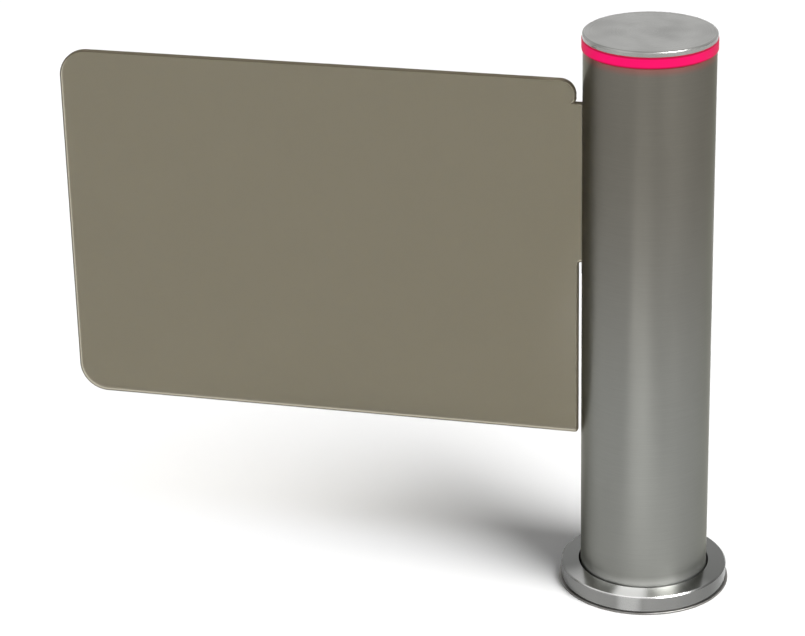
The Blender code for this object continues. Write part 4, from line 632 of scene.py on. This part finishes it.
# Metals and coats: name, tone, dull tone, shine, grain, depth of the marks and scale of a metal's stains.
FINISHES: dict[Slot, Finish] = {
    Slot.BRUSHED_STEEL: TubeFinish(),
    Slot.POLISHED_STEEL: CoverFinish(),
    Slot.SATIN_STEEL: MetalFinish(
        "satin_steel_cap", (0.365, 0.365, 0.35), (0.25, 0.25, 0.238), (0.20, 0.30), Grain.TURNED, 0.000005, 10.0),
    Slot.PLAIN_STEEL: MetalFinish(
        "mill_steel", (0.25, 0.245, 0.235), (0.17, 0.165, 0.155), (0.34, 0.52), Grain.EVEN, 0.00003, 25.0),
    Slot.BEARING_STEEL: MetalFinish(
        "bearing_steel", (0.60, 0.59, 0.57), (0.50, 0.49, 0.47), (0.12, 0.24), Grain.ROUND_THE_POST, 0.000005, 30.0),
    Slot.FASTENER_STEEL: MetalFinish(
        "zinced_steel", (0.52, 0.52, 0.50), (0.42, 0.41, 0.38), (0.25, 0.42), Grain.EVEN, 0.00001, 60.0),
    Slot.CAST_ALUMINIUM: MetalFinish(
        "cast_aluminium", (0.60, 0.60, 0.61), (0.48, 0.48, 0.49), (0.42, 0.62), Grain.EVEN, 0.00008, 18.0),
    Slot.MOTOR_PAINT: CoatFinish(
        "motor_paint", (0.045, 0.048, 0.055), (0.075, 0.078, 0.085), (0.35, 0.5), Grain.PAINT_SKIN, 0.00004),
    Slot.BLACK_RUBBER: CoatFinish(
        "black_rubber", (0.022, 0.021, 0.020), (0.045, 0.043, 0.040), (0.55, 0.75), Grain.RUBBER_SKIN, 0.00003),
    Slot.WHITE_NYLON: CoatFinish(
        "white_nylon", (0.70, 0.69, 0.65), (0.60, 0.58, 0.53), (0.35, 0.5), Grain.NYLON_SKIN, 0.00002),
    Slot.GREY_PLASTIC: CoatFinish(
        "grey_plastic", (0.25, 0.255, 0.26), (0.31, 0.315, 0.32), (0.45, 0.6), Grain.PLASTIC_SKIN, 0.00003),
    Slot.BOARD_GREEN: BoardFinish(),
    Slot.BRONZE_SHEET: SheetFinish(),
    Slot.RED_DIFFUSER: LitRingFinish(),
}


@cache
def material_of(finish: Finish) -> Material:
    """A finish's material, made only once."""
    return finish.material()


# mesh work


def clear_selection() -> None:
    """Leave nothing selected."""
    for item in bpy.context.selected_objects:
        item.select_set(False)


def take_up(name: str) -> Object:
    """Name the primitive that was just added, and put its place and turn into its mesh.

    Args:
        name: The piece's name.

    Returns:
        The piece, selected on its own.
    """
    piece = bpy.context.active_object
    piece.name = name
    piece.data.name = name
    bpy.ops.object.transform_apply(location=True, rotation=True, scale=True)
    return piece


def pick(piece: Object, element: Element, wanted: Callable[[Vector, Vector], bool]) -> None:
    """Select by place, in edit mode.

    Args:
        piece: The piece in edit mode.
        element: What is selected.
        wanted: Tells from a middle point and an outward direction whether it is selected.
    """
    bpy.ops.mesh.select_mode(type=element.value)
    bpy.ops.mesh.select_all(action="DESELECT")
    shape = bmesh.from_edit_mesh(piece.data)
    if element is Element.POINTS:
        found = [point for point in shape.verts if wanted(point.co, point.normal)]
    else:
        found = [face for face in shape.faces if wanted(face.calc_center_median(), face.normal)]
    for part in found:
        part.select_set(True)
    shape.select_flush_mode()
    bmesh.update_edit_mesh(piece.data)


def draw_run(name: str, points: Sequence[Triple]) -> Object:
    """Draw a run of edges by extruding one point after another, and stay in edit mode.

    Args:
        name: The piece's name.
        points: The points of the run.

    Returns:
        The piece in edit mode.
    """
    clear_selection()
    bpy.ops.mesh.primitive_plane_add(size=START_SIZE, location=points[0])
    piece = take_up(name)
    bpy.ops.object.mode_set(mode="EDIT")
    bpy.ops.mesh.select_mode(type=Element.POINTS.value)
    bpy.ops.mesh.select_all(action="SELECT")
    bpy.ops.mesh.merge(type="CENTER")
    for start, end in zip(points, points[1:]):
        step = Vector(end) - Vector(start)
        bpy.ops.mesh.extrude_vertices_move(TRANSFORM_OT_translate={"value": step})
    return piece


def arc(centre: Point, radius: float, start: float, end: float, steps: int) -> list[Point]:
    """Points of an arc.

    Args:
        centre: Its centre.
        radius: Its radius.
        start: The angle where it starts.
        end: The angle where it ends.
        steps: How many steps it takes.

    Returns:
        The points, both ends included.
    """
    return [(centre[0] + radius * math.cos(start + (end - start) * step / steps),
             centre[1] + radius * math.sin(start + (end - start) * step / steps))
            for step in range(steps + 1)]


def turn_on_axis(name: str, profile: Sequence[Point], sides: int) -> Object:
    """Turn a closed profile round the post's axis.

    Args:
        name: The piece's name.
        profile: Points of distance from the axis and height. The last one joins the first, on the axis or off it.
        sides: How many sides the turned piece has.

    Returns:
        The turned piece, out of edit mode.
    """
    run = [(reach, 0.0, height) for reach, height in (*profile, profile[0])]
    piece = draw_run(name, run)
    bpy.ops.mesh.select_all(action="SELECT")
    bpy.ops.mesh.remove_doubles(threshold=MERGE_GAP)
    bpy.ops.mesh.select_all(action="SELECT")
    bpy.ops.mesh.spin(steps=sides, angle=2 * math.pi, center=(0, 0, 0), axis=(0, 0, 1))
    close_seams()
    return piece


def close_seams() -> None:
    """Merge doubles, drop what has no area and turn the faces outwards, then leave edit mode."""
    bpy.ops.mesh.select_mode(type=Element.POINTS.value)
    bpy.ops.mesh.select_all(action="SELECT")
    bpy.ops.mesh.remove_doubles(threshold=MERGE_GAP)
    bpy.ops.mesh.dissolve_degenerate(threshold=MERGE_GAP / 10)
    bpy.ops.mesh.delete_loose()
    bpy.ops.mesh.select_all(action="SELECT")
    bpy.ops.mesh.normals_make_consistent(inside=False)
    bpy.ops.object.mode_set(mode="OBJECT")


def select_only(piece: Object) -> None:
    """Make a piece the only selected one.

    Args:
        piece: The piece.
    """
    clear_selection()
    piece.select_set(True)
    bpy.context.view_layer.objects.active = piece


def apply_modifier(piece: Object, kind: str, **settings: object) -> None:
    """Put a modifier on a piece and apply it.

    Args:
        piece: The piece.
        kind: The modifier's type.
        **settings: Properties that are set on it.
    """
    select_only(piece)
    modifier = piece.modifiers.new(kind.lower(), kind)
    for setting, value in settings.items():
        setattr(modifier, setting, value)
    bpy.ops.object.modifier_apply(modifier=modifier.name)


def break_edges(piece: Object, width: float, segments: int = 2, held_back: bool = True) -> None:
    """Round off the sharp edges.

    Args:
        piece: The piece.
        width: The width of the rounding.
        segments: How many steps it has.
        held_back: Whether short edges hold the width back.
    """
    apply_modifier(piece, "BEVEL", width=width, segments=segments, use_clamp_overlap=held_back,
                   limit_method="ANGLE", angle_limit=BREAK_LIMIT)


def drill(piece: Object, start: Vector, end: Vector, radius: float) -> None:
    """Drill a round hole.

    Args:
        piece: The piece.
        start: Where the drill enters.
        end: Where it stops.
        radius: The hole's radius.
    """
    clear_selection()
    along = end - start
    bpy.ops.mesh.primitive_cylinder_add(vertices=HOLE_SIDES, radius=radius, depth=along.length,
                                        location=(start + end) / 2,
                                        rotation=along.to_track_quat("Z", "Y").to_euler())
    bit = take_up("drill_bit")
    apply_modifier(piece, "BOOLEAN", operation="DIFFERENCE", solver="EXACT", object=bit)
    bpy.data.objects.remove(bit)


# sub-assemblies


class SubAssembly:
    """What the sub-assemblies share."""

    def hand_over(self, piece: Object, node: str, body: Body, slot: Slot) -> Object:
        """Shade a made piece, dress it and let it stand for its node.

        Args:
            piece: The made piece.
            node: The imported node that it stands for.
            body: The body that it rides on.
            slot: The material slot that it is finished from.

        Returns:
            The piece.
        """
        select_only(piece)
        bpy.ops.object.shade_smooth_by_angle(angle=SMOOTH_LIMIT)
        apply_modifier(piece, "WEIGHTED_NORMAL", keep_sharp=True)
        material = material_of(FINISHES[slot])
        if piece.data.materials:
            piece.data.materials[0] = material
        else:
            piece.data.materials.append(material)
        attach(piece, body.value)
        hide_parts(node)
        LOG.info("%s made: %d faces, rides on %s", piece.name, len(piece.data.polygons), body.value)
        return piece


@dataclass
class BaseRing(SubAssembly):
    """The base plate on the floor and the polished cover ring over it."""

    plate_radius: float = 0.1472
    rim_thickness: float = 0.0032
    edge_break: float = 0.0006
    land_radius: float = 0.1413
    plate_thickness: float = 0.012
    anchor_circle: float = 0.128
    anchor_radius: float = 0.007
    mast_bolt_circle: float = 0.052
    mast_bolt_radius: float = 0.0043
    mast_bolt_floor: float = 0.0022
    cable_offset: float = 0.020
    cable_radius: float = 0.009
    overcut: float = 0.004
    cover_radius: float = 0.1436
    cover_wall: float = 0.002
    cover_bottom: float = 0.0035
    shoulder_height: float = 0.0292
    shoulder_bevel: float = 0.0024
    crown_height: float = 0.0340
    hole_radius: float = 0.11255
    collar_depth: float = 0.006
    cover_break: float = 0.00025
    sides: int = 192

    def build(self) -> None:
        """Make and dress both pieces."""
        self.hand_over(self.plate(), "base_plate", Body.STANDING, Slot.PLAIN_STEEL)
        self.hand_over(self.cover(), "base_cover", Body.STANDING, Slot.POLISHED_STEEL)

    def plate(self) -> Object:
        """Turn the plate and drill its holes.

        Returns:
            The plate.
        """
        profile = [(0.0, 0.0), (self.plate_radius, 0.0), (self.plate_radius, self.rim_thickness - self.edge_break),
                   (self.plate_radius - self.edge_break, self.rim_thickness), (self.land_radius, self.rim_thickness),
                   (self.land_radius, self.plate_thickness), (0.0, self.plate_thickness)]
        plate = turn_on_axis("base_plate_turned", profile, self.sides)
        over = Vector((0.0, 0.0, self.overcut))
        top = Vector((0.0, 0.0, self.plate_thickness))
        for index in range(4):
            angle = QUARTER * (index + 0.5)
            out = Vector((math.cos(angle), math.sin(angle), 0.0))
            drill(plate, out * self.anchor_circle - over, out * self.anchor_circle + top + over, self.anchor_radius)
            foot = out * self.mast_bolt_circle
            drill(plate, foot + Vector((0.0, 0.0, self.mast_bolt_floor)), foot + top + over, self.mast_bolt_radius)
        middle = Vector((self.cable_offset, 0.0, 0.0))
        drill(plate, middle - over, middle + top + over, self.cable_radius)
        return plate

    def cover(self) -> Object:
        """Turn the cover with its bevelled shoulder and the collar at its hole.

        Returns:
            The cover.
        """
        edge, wall, bevel = self.edge_break, self.cover_wall, self.shoulder_bevel
        inner = self.cover_radius - wall
        top_edge = self.shoulder_height + bevel
        profile = [(self.cover_radius - edge, self.cover_bottom), (self.cover_radius, self.cover_bottom + edge),
                   (self.cover_radius, self.shoulder_height), (self.cover_radius - bevel, top_edge),
                   (self.hole_radius + edge, self.crown_height), (self.hole_radius, self.crown_height - edge),
                   (self.hole_radius, self.crown_height - self.collar_depth),
                   (self.hole_radius + wall, self.crown_height - self.collar_depth),
                   (self.hole_radius + wall, self.crown_height - wall),
                   (inner - bevel, top_edge - wall), (inner, self.shoulder_height - wall),
                   (inner, self.cover_bottom)]
        cover = turn_on_axis("base_cover_turned", profile, self.sides)
        break_edges(cover, self.cover_break)
        return cover


@dataclass
class Post(SubAssembly):
    """The brushed tube that turns with the wing, and the trim of its slot."""

    radius: float = 0.10955
    wall: float = 0.003
    bottom: float = 0.020
    top: float = 0.9673
    slot_half: float = 0.0071
    slot_bottom: float = 0.565
    slot_top: float = 0.871
    rim_break: float = 0.0003
    sides: int = 242
    trim_outer_reach: float = 0.11075
    trim_inner_reach: float = 0.10535
    trim_half: float = 0.0068
    trim_bottom: float = 0.5653
    trim_top: float = 0.8707
    trim_thickness: float = 0.0015
    trim_round: float = 0.0004
    end_face_turn: float = 0.9

    def build(self) -> None:
        """Make and dress both pieces."""
        self.hand_over(self.tube(), "post_tube", Body.TURNING, Slot.BRUSHED_STEEL)
        self.hand_over(self.trim(), "slot_trim", Body.TURNING, Slot.BLACK_RUBBER)

    def tube(self) -> Object:
        """Roll the tube, cut its slot and give it its wall. Five of its sides span the slot.

        Returns:
            The tube.
        """
        clear_selection()
        bpy.ops.mesh.primitive_cylinder_add(vertices=self.sides, radius=self.radius, depth=self.top - self.bottom,
                                            end_fill_type="NOTHING", location=(0, 0, (self.top + self.bottom) / 2))
        tube = take_up("post_tube_rolled")
        bpy.ops.object.mode_set(mode="EDIT")
        for height in (self.slot_bottom, self.slot_top):
            bpy.ops.mesh.select_all(action="SELECT")
            bpy.ops.mesh.bisect(plane_co=(0, 0, height), plane_no=(0, 0, 1))
        pick(tube, Element.FACES, lambda middle, outward: middle.x < 0 and abs(middle.y) < self.slot_half
             and self.slot_bottom < middle.z < self.slot_top)
        bpy.ops.mesh.delete(type="FACE")
        bpy.ops.object.mode_set(mode="OBJECT")
        apply_modifier(tube, "SOLIDIFY", thickness=self.wall, offset=-1.0, use_even_offset=True)
        break_edges(tube, self.rim_break)
        return tube

    def trim(self) -> Object:
        """Form the rubber frame that lines the slot.

        Returns:
            The trim.
        """
        clear_selection()
        depth = self.trim_outer_reach - self.trim_inner_reach
        bpy.ops.mesh.primitive_cube_add(size=1.0, location=(-(self.trim_outer_reach + self.trim_inner_reach) / 2, 0,
                                                            (self.trim_top + self.trim_bottom) / 2),
                                        scale=(depth, 2 * self.trim_half, self.trim_top - self.trim_bottom))
        trim = take_up("slot_trim_formed")
        bpy.ops.object.mode_set(mode="EDIT")
        pick(trim, Element.FACES, lambda middle, outward: abs(outward.x) > self.end_face_turn)
        bpy.ops.mesh.inset(thickness=self.trim_thickness, use_even_offset=True)
        bpy.ops.mesh.bridge_edge_loops()
        close_seams()
        break_edges(trim, self.trim_round, segments=3)
        return trim


@dataclass
class Wing(SubAssembly):
    """The bronze-tinted panel with the tongue that is clamped in the post."""

    half_thickness: float = 0.005
    outer_reach: float = 1.0263
    inner_reach: float = 0.1165
    upper_inner_reach: float = 0.1216
    notch: float = 0.003
    bottom: float = 0.2665
    top: float = 0.9070
    tongue_end: float = 0.053
    tongue_bottom: float = 0.584
    tongue_top: float = 0.8675
    outer_corner: float = 0.050
    upper_inner_corner: float = 0.027
    lower_inner_corner: float = 0.006
    root_fillet: float = 0.004
    bolt_reach: float = 0.073968
    bolt_heights: tuple[float, ...] = (0.632583, 0.72575, 0.818917)
    bolt_radius: float = 0.0061
    bolt_margin: float = 1.2
    drill_reach: float = 0.01
    corner_step: float = 0.0015
    least_corner_steps: int = 8
    edge_round: float = 0.0028
    face_turn: float = 0.99

    def build(self) -> None:
        """Make and dress the panel."""
        panel = self.hand_over(self.panel(), "wing_panel", Body.TURNING, Slot.BRONZE_SHEET)
        panel.data.materials.append(material_of(SheetEdgeFinish()))
        for face in panel.data.polygons:
            if abs(face.normal.y) < self.face_turn and not self.in_bolt_hole(face.center):
                face.material_index = 1

    def in_bolt_hole(self, place: Vector) -> bool:
        """Whether a place lies at the wall of a bolt hole."""
        return any(Vector((place.x + self.bolt_reach, place.z - height)).length < self.bolt_radius * self.bolt_margin
                   for height in self.bolt_heights)

    def corners(self) -> list[tuple[Point, float]]:
        """The outline's corners in order.

        Returns:
            Each corner's X and Z with the radius that it gets.
        """
        return [((-self.tongue_end, self.tongue_bottom), 0.0), ((-self.tongue_end, self.tongue_top), 0.0),
                ((-self.upper_inner_reach - self.notch, self.tongue_top), 0.0),
                ((-self.upper_inner_reach, self.tongue_top + self.notch), 0.0),
                ((-self.upper_inner_reach, self.top), self.upper_inner_corner),
                ((-self.outer_reach, self.top), self.outer_corner),
                ((-self.outer_reach, self.bottom), self.outer_corner),
                ((-self.inner_reach, self.bottom), self.lower_inner_corner),
                ((-self.inner_reach, self.tongue_bottom), self.root_fillet)]

    def panel(self) -> Object:
        """Draw the outline, round its corners, give it its thickness and drill it.

        Returns:
            The panel.
        """
        corners = self.corners()
        run = [(x, -self.half_thickness, z) for (x, z), _ in corners]
        panel = draw_run("wing_panel_sheet", [*run, run[0]])
        bpy.ops.mesh.select_all(action="SELECT")
        bpy.ops.mesh.remove_doubles(threshold=MERGE_GAP)
        bpy.ops.mesh.select_all(action="SELECT")
        bpy.ops.mesh.edge_face_add()
        for (x, z), radius in corners:
            if radius:
                here = Vector((x, -self.half_thickness, z))
                pick(panel, Element.POINTS, lambda middle, outward: (middle - here).length < MERGE_GAP)
                bpy.ops.mesh.bevel(offset=radius, offset_type="OFFSET", affect="VERTICES", profile=0.5,
                                   segments=max(self.least_corner_steps, round(radius / self.corner_step)))
        bpy.ops.mesh.select_all(action="SELECT")
        bpy.ops.mesh.extrude_region_move(TRANSFORM_OT_translate={"value": (0, 2 * self.half_thickness, 0)})
        close_seams()
        for height in self.bolt_heights:
            drill(panel, Vector((-self.bolt_reach, -self.drill_reach, height)),
                  Vector((-self.bolt_reach, self.drill_reach, height)), self.bolt_radius)
        break_edges(panel, self.edge_round, segments=4, held_back=False)
        return panel


@dataclass
class Crown(SubAssembly):
    """The lit ring and the cap over it."""

    ring_radius: float = 0.1117
    ring_inner: float = 0.1010
    ring_bottom: float = 0.9681
    ring_top: float = 0.9874
    ring_round: float = 0.0016
    cap_top: float = 0.9965
    cap_radius: float = 0.1107
    cap_round: float = 0.0038
    cap_bottom: float = 0.9877
    cap_wall: float = 0.003
    skirt_outer: float = 0.0930
    skirt_inner: float = 0.0900
    skirt_bottom: float = 0.9805
    ring_steps: int = 6
    cap_steps: int = 10
    sides: int = 192

    def build(self) -> None:
        """Make and dress both pieces."""
        self.hand_over(self.ring(), "light_ring", Body.STANDING, Slot.RED_DIFFUSER)
        self.hand_over(self.cap(), "top_cap", Body.STANDING, Slot.SATIN_STEEL)

    def ring(self) -> Object:
        """Turn the ring with its rounded outer edges.

        Returns:
            The ring.
        """
        reach = self.ring_radius - self.ring_round
        profile = [(self.ring_inner, self.ring_bottom),
                   *arc((reach, self.ring_bottom + self.ring_round), self.ring_round, -QUARTER, 0.0, self.ring_steps),
                   *arc((reach, self.ring_top - self.ring_round), self.ring_round, 0.0, QUARTER, self.ring_steps),
                   (self.ring_inner, self.ring_top)]
        return turn_on_axis("light_ring_turned", profile, self.sides)

    def cap(self) -> Object:
        """Turn the cap with its rounded edge, its rim and its skirt.

        Returns:
            The cap.
        """
        under = self.cap_top - self.cap_wall
        profile = [(0.0, self.cap_top),
                   *arc((self.cap_radius - self.cap_round, self.cap_top - self.cap_round), self.cap_round,
                        QUARTER, 0.0, self.cap_steps),
                   (self.cap_radius, self.cap_bottom), (self.ring_inner, self.cap_bottom), (self.ring_inner, under),
                   (self.skirt_outer, under), (self.skirt_outer, self.skirt_bottom),
                   (self.skirt_inner, self.skirt_bottom), (self.skirt_inner, under), (0.0, under)]
        return turn_on_axis("top_cap_turned", profile, self.sides)


class Works(SubAssembly):
    """The machinery inside the post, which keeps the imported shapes."""

    def build(self) -> None:
        """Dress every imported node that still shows."""
        for name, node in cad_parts.items():
            if node.hide_render:
                continue
            for holder in node.material_slots:
                holder.material = material_of(FINISHES[Slot(holder.material.name.split(".")[0])])
            LOG.info("%s dressed", name)


@dataclass
class Studio:
    """The pale floor, the soft light and the camera."""

    floor_half: float = 7.0
    floor_drop: float = 0.0002
    floor_tone: float = 0.90
    floor_lift: float = 0.01
    sky_light: float = 0.25
    zone_scale: float = 1.7
    zone_span: Point = (0.36, 0.62)
    zone_tones: Point = (0.70, 1.10)
    front: Triple = (-0.10, -0.95, 0.25)
    front_span: Point = (-0.2, 1.0)
    front_share: Point = (0.9, 1.45)
    key_strength: float = 3.6
    key_azimuth: float = math.radians(154.5)
    key_elevation: float = math.radians(54.0)
    key_angle: float = math.radians(29.6)
    pools: tuple[tuple[Triple, Triple, float], ...] = (((0.07, -0.85, 0.0), (0.40, 0.90, 1.0), 1.2),
                                                       ((-0.24, -1.35, 0.0), (0.22, 0.80, 1.0), 1.2))
    camera_place: Triple = (0.74778, -4.44315, 2.42850)
    camera_right: Triple = (0.96886, 0.24672, -0.02101)
    camera_up: Triple = (-0.07875, 0.38748, 0.91851)
    camera_forward: Triple = (-0.23475, 0.88825, -0.39484)
    camera_clip: Point = (0.1, 100.0)
    focal_pixels: float = 2890.9
    image_pixels: float = 805.0

    def build(self) -> None:
        """Set up the floor, the light and the camera."""
        self.floor()
        self.sky()
        self.key_lamp()
        self.camera()

    def floor(self) -> None:
        """Lay the floor, which lifts itself to white for the eye and keeps the shadow."""
        clear_selection()
        bpy.ops.mesh.primitive_plane_add(size=2 * self.floor_half, location=(0, 0, -self.floor_drop))
        floor = take_up("studio_floor")
        bench = NodeBench(bpy.data.materials.new("studio_floor"))
        seen = bench.maths("MAXIMUM", bench.ray("Is Camera Ray"), bench.ray("Is Glossy Ray"))
        seen = bench.maths("MAXIMUM", seen, bench.ray("Is Transmission Ray"))
        lift = bench.maths("ADD", bench.maths("MULTIPLY", seen, self.floor_lift), self.pool(bench))
        shader = bench.surface(Base_Color=(self.floor_tone,) * 3, Roughness=1.0, Specular_IOR_Level=0.0,
                               Emission_Color=WHITE, Emission_Strength=lift)
        floor.data.materials.append(bench.finish(shader))

    def pool(self, bench: NodeBench) -> NodeSocket:
        """The pools of light before the post, which only gloss picks up, as long highlights on the brushed side.

        Args:
            bench: The bench of the floor's material.

        Returns:
            The light that the pools add.
        """
        shares = []
        for place, half, strength in self.pools:
            away = bench.add("ShaderNodeVectorMath", operation="DISTANCE")
            away.inputs[1].default_value = [middle / reach for middle, reach in zip(place, half)]
            bench.feed(away.inputs[0], bench.place(tuple(1.0 / reach for reach in half)))
            shares.append(bench.spread(away.outputs["Value"], RISING, (strength, 0.0)))
        gloss_alone = bench.maths("GREATER_THAN", bench.ray("Is Glossy Ray"), bench.ray("Is Transmission Ray"))
        return bench.maths("MULTIPLY", bench.maths("ADD", *shares), gloss_alone)

    def sky(self) -> None:
        """Light all round softly, be white where it is seen, and show soft zones in gloss, brighter from the front."""
        world = bpy.data.worlds.new("studio_sky")
        bpy.context.scene.world = world
        bench = NodeBench(world)
        directions = bench.add("ShaderNodeTexCoord").outputs["Generated"]
        tones = bench.add("ShaderNodeValToRGB")
        for stop, place, tone in zip(tones.color_ramp.elements, self.zone_span, self.zone_tones):
            stop.position = place
            stop.color = (tone, tone, tone, 1.0)
        bench.fill(tones, Fac=bench.noise(directions, detail=1.0, roughness=0.5, scale=self.zone_scale))
        facing = bench.add("ShaderNodeVectorMath", operation="DOT_PRODUCT")
        facing.inputs[1].default_value = self.front
        bench.feed(facing.inputs[0], directions)
        strength = bench.spread(facing.outputs["Value"], self.front_span, self.front_share)
        soft = bench.glow("ShaderNodeBackground", WHITE, self.sky_light)
        gloss = bench.glow("ShaderNodeBackground", tones.outputs["Color"], strength)
        white = bench.glow("ShaderNodeBackground", WHITE, 1.0)
        seen = bench.maths("MAXIMUM", bench.ray("Is Camera Ray"), bench.ray("Is Transmission Ray"))
        bench.finish(bench.layer(seen, bench.layer(bench.ray("Is Glossy Ray"), soft, gloss), white))

    def key_lamp(self) -> None:
        """Hang the soft key light at the front right."""
        lamp = bpy.data.lights.new("key_lamp", "SUN")
        lamp.energy = self.key_strength
        lamp.angle = self.key_angle
        holder = bpy.data.objects.new("key_lamp", lamp)
        bpy.context.scene.collection.objects.link(holder)
        level = math.cos(self.key_elevation)
        travel = Vector((math.cos(self.key_azimuth) * level, math.sin(self.key_azimuth) * level,
                         -math.sin(self.key_elevation)))
        holder.rotation_euler = travel.to_track_quat("-Z", "Y").to_euler()

    def camera(self) -> None:
        """Stand the camera where the picture was taken from."""
        data = bpy.data.cameras.new("camera")
        data.sensor_width = SENSOR_WIDTH
        data.lens = self.focal_pixels * SENSOR_WIDTH / self.image_pixels
        data.clip_start, data.clip_end = self.camera_clip
        camera = bpy.data.objects.new("camera", data)
        bpy.context.scene.collection.objects.link(camera)
        back = -Vector(self.camera_forward)
        turn = Matrix((self.camera_right, self.camera_up, back)).transposed().to_4x4()
        camera.matrix_world = Matrix.Translation(self.camera_place) @ turn
        bpy.context.scene.camera = camera


def main() -> None:
    """Build the sub-assemblies in order, then the studio."""
    logging.basicConfig(level=logging.INFO, format="%(message)s")
    for assembly in (BaseRing(), Post(), Wing(), Crown(), Works()):
        LOG.info("building %s", type(assembly).__name__)
        assembly.build()
    Studio().build()
    bpy.context.scene.view_settings.view_transform = "Standard"


if __name__ == "__main__":
    main()
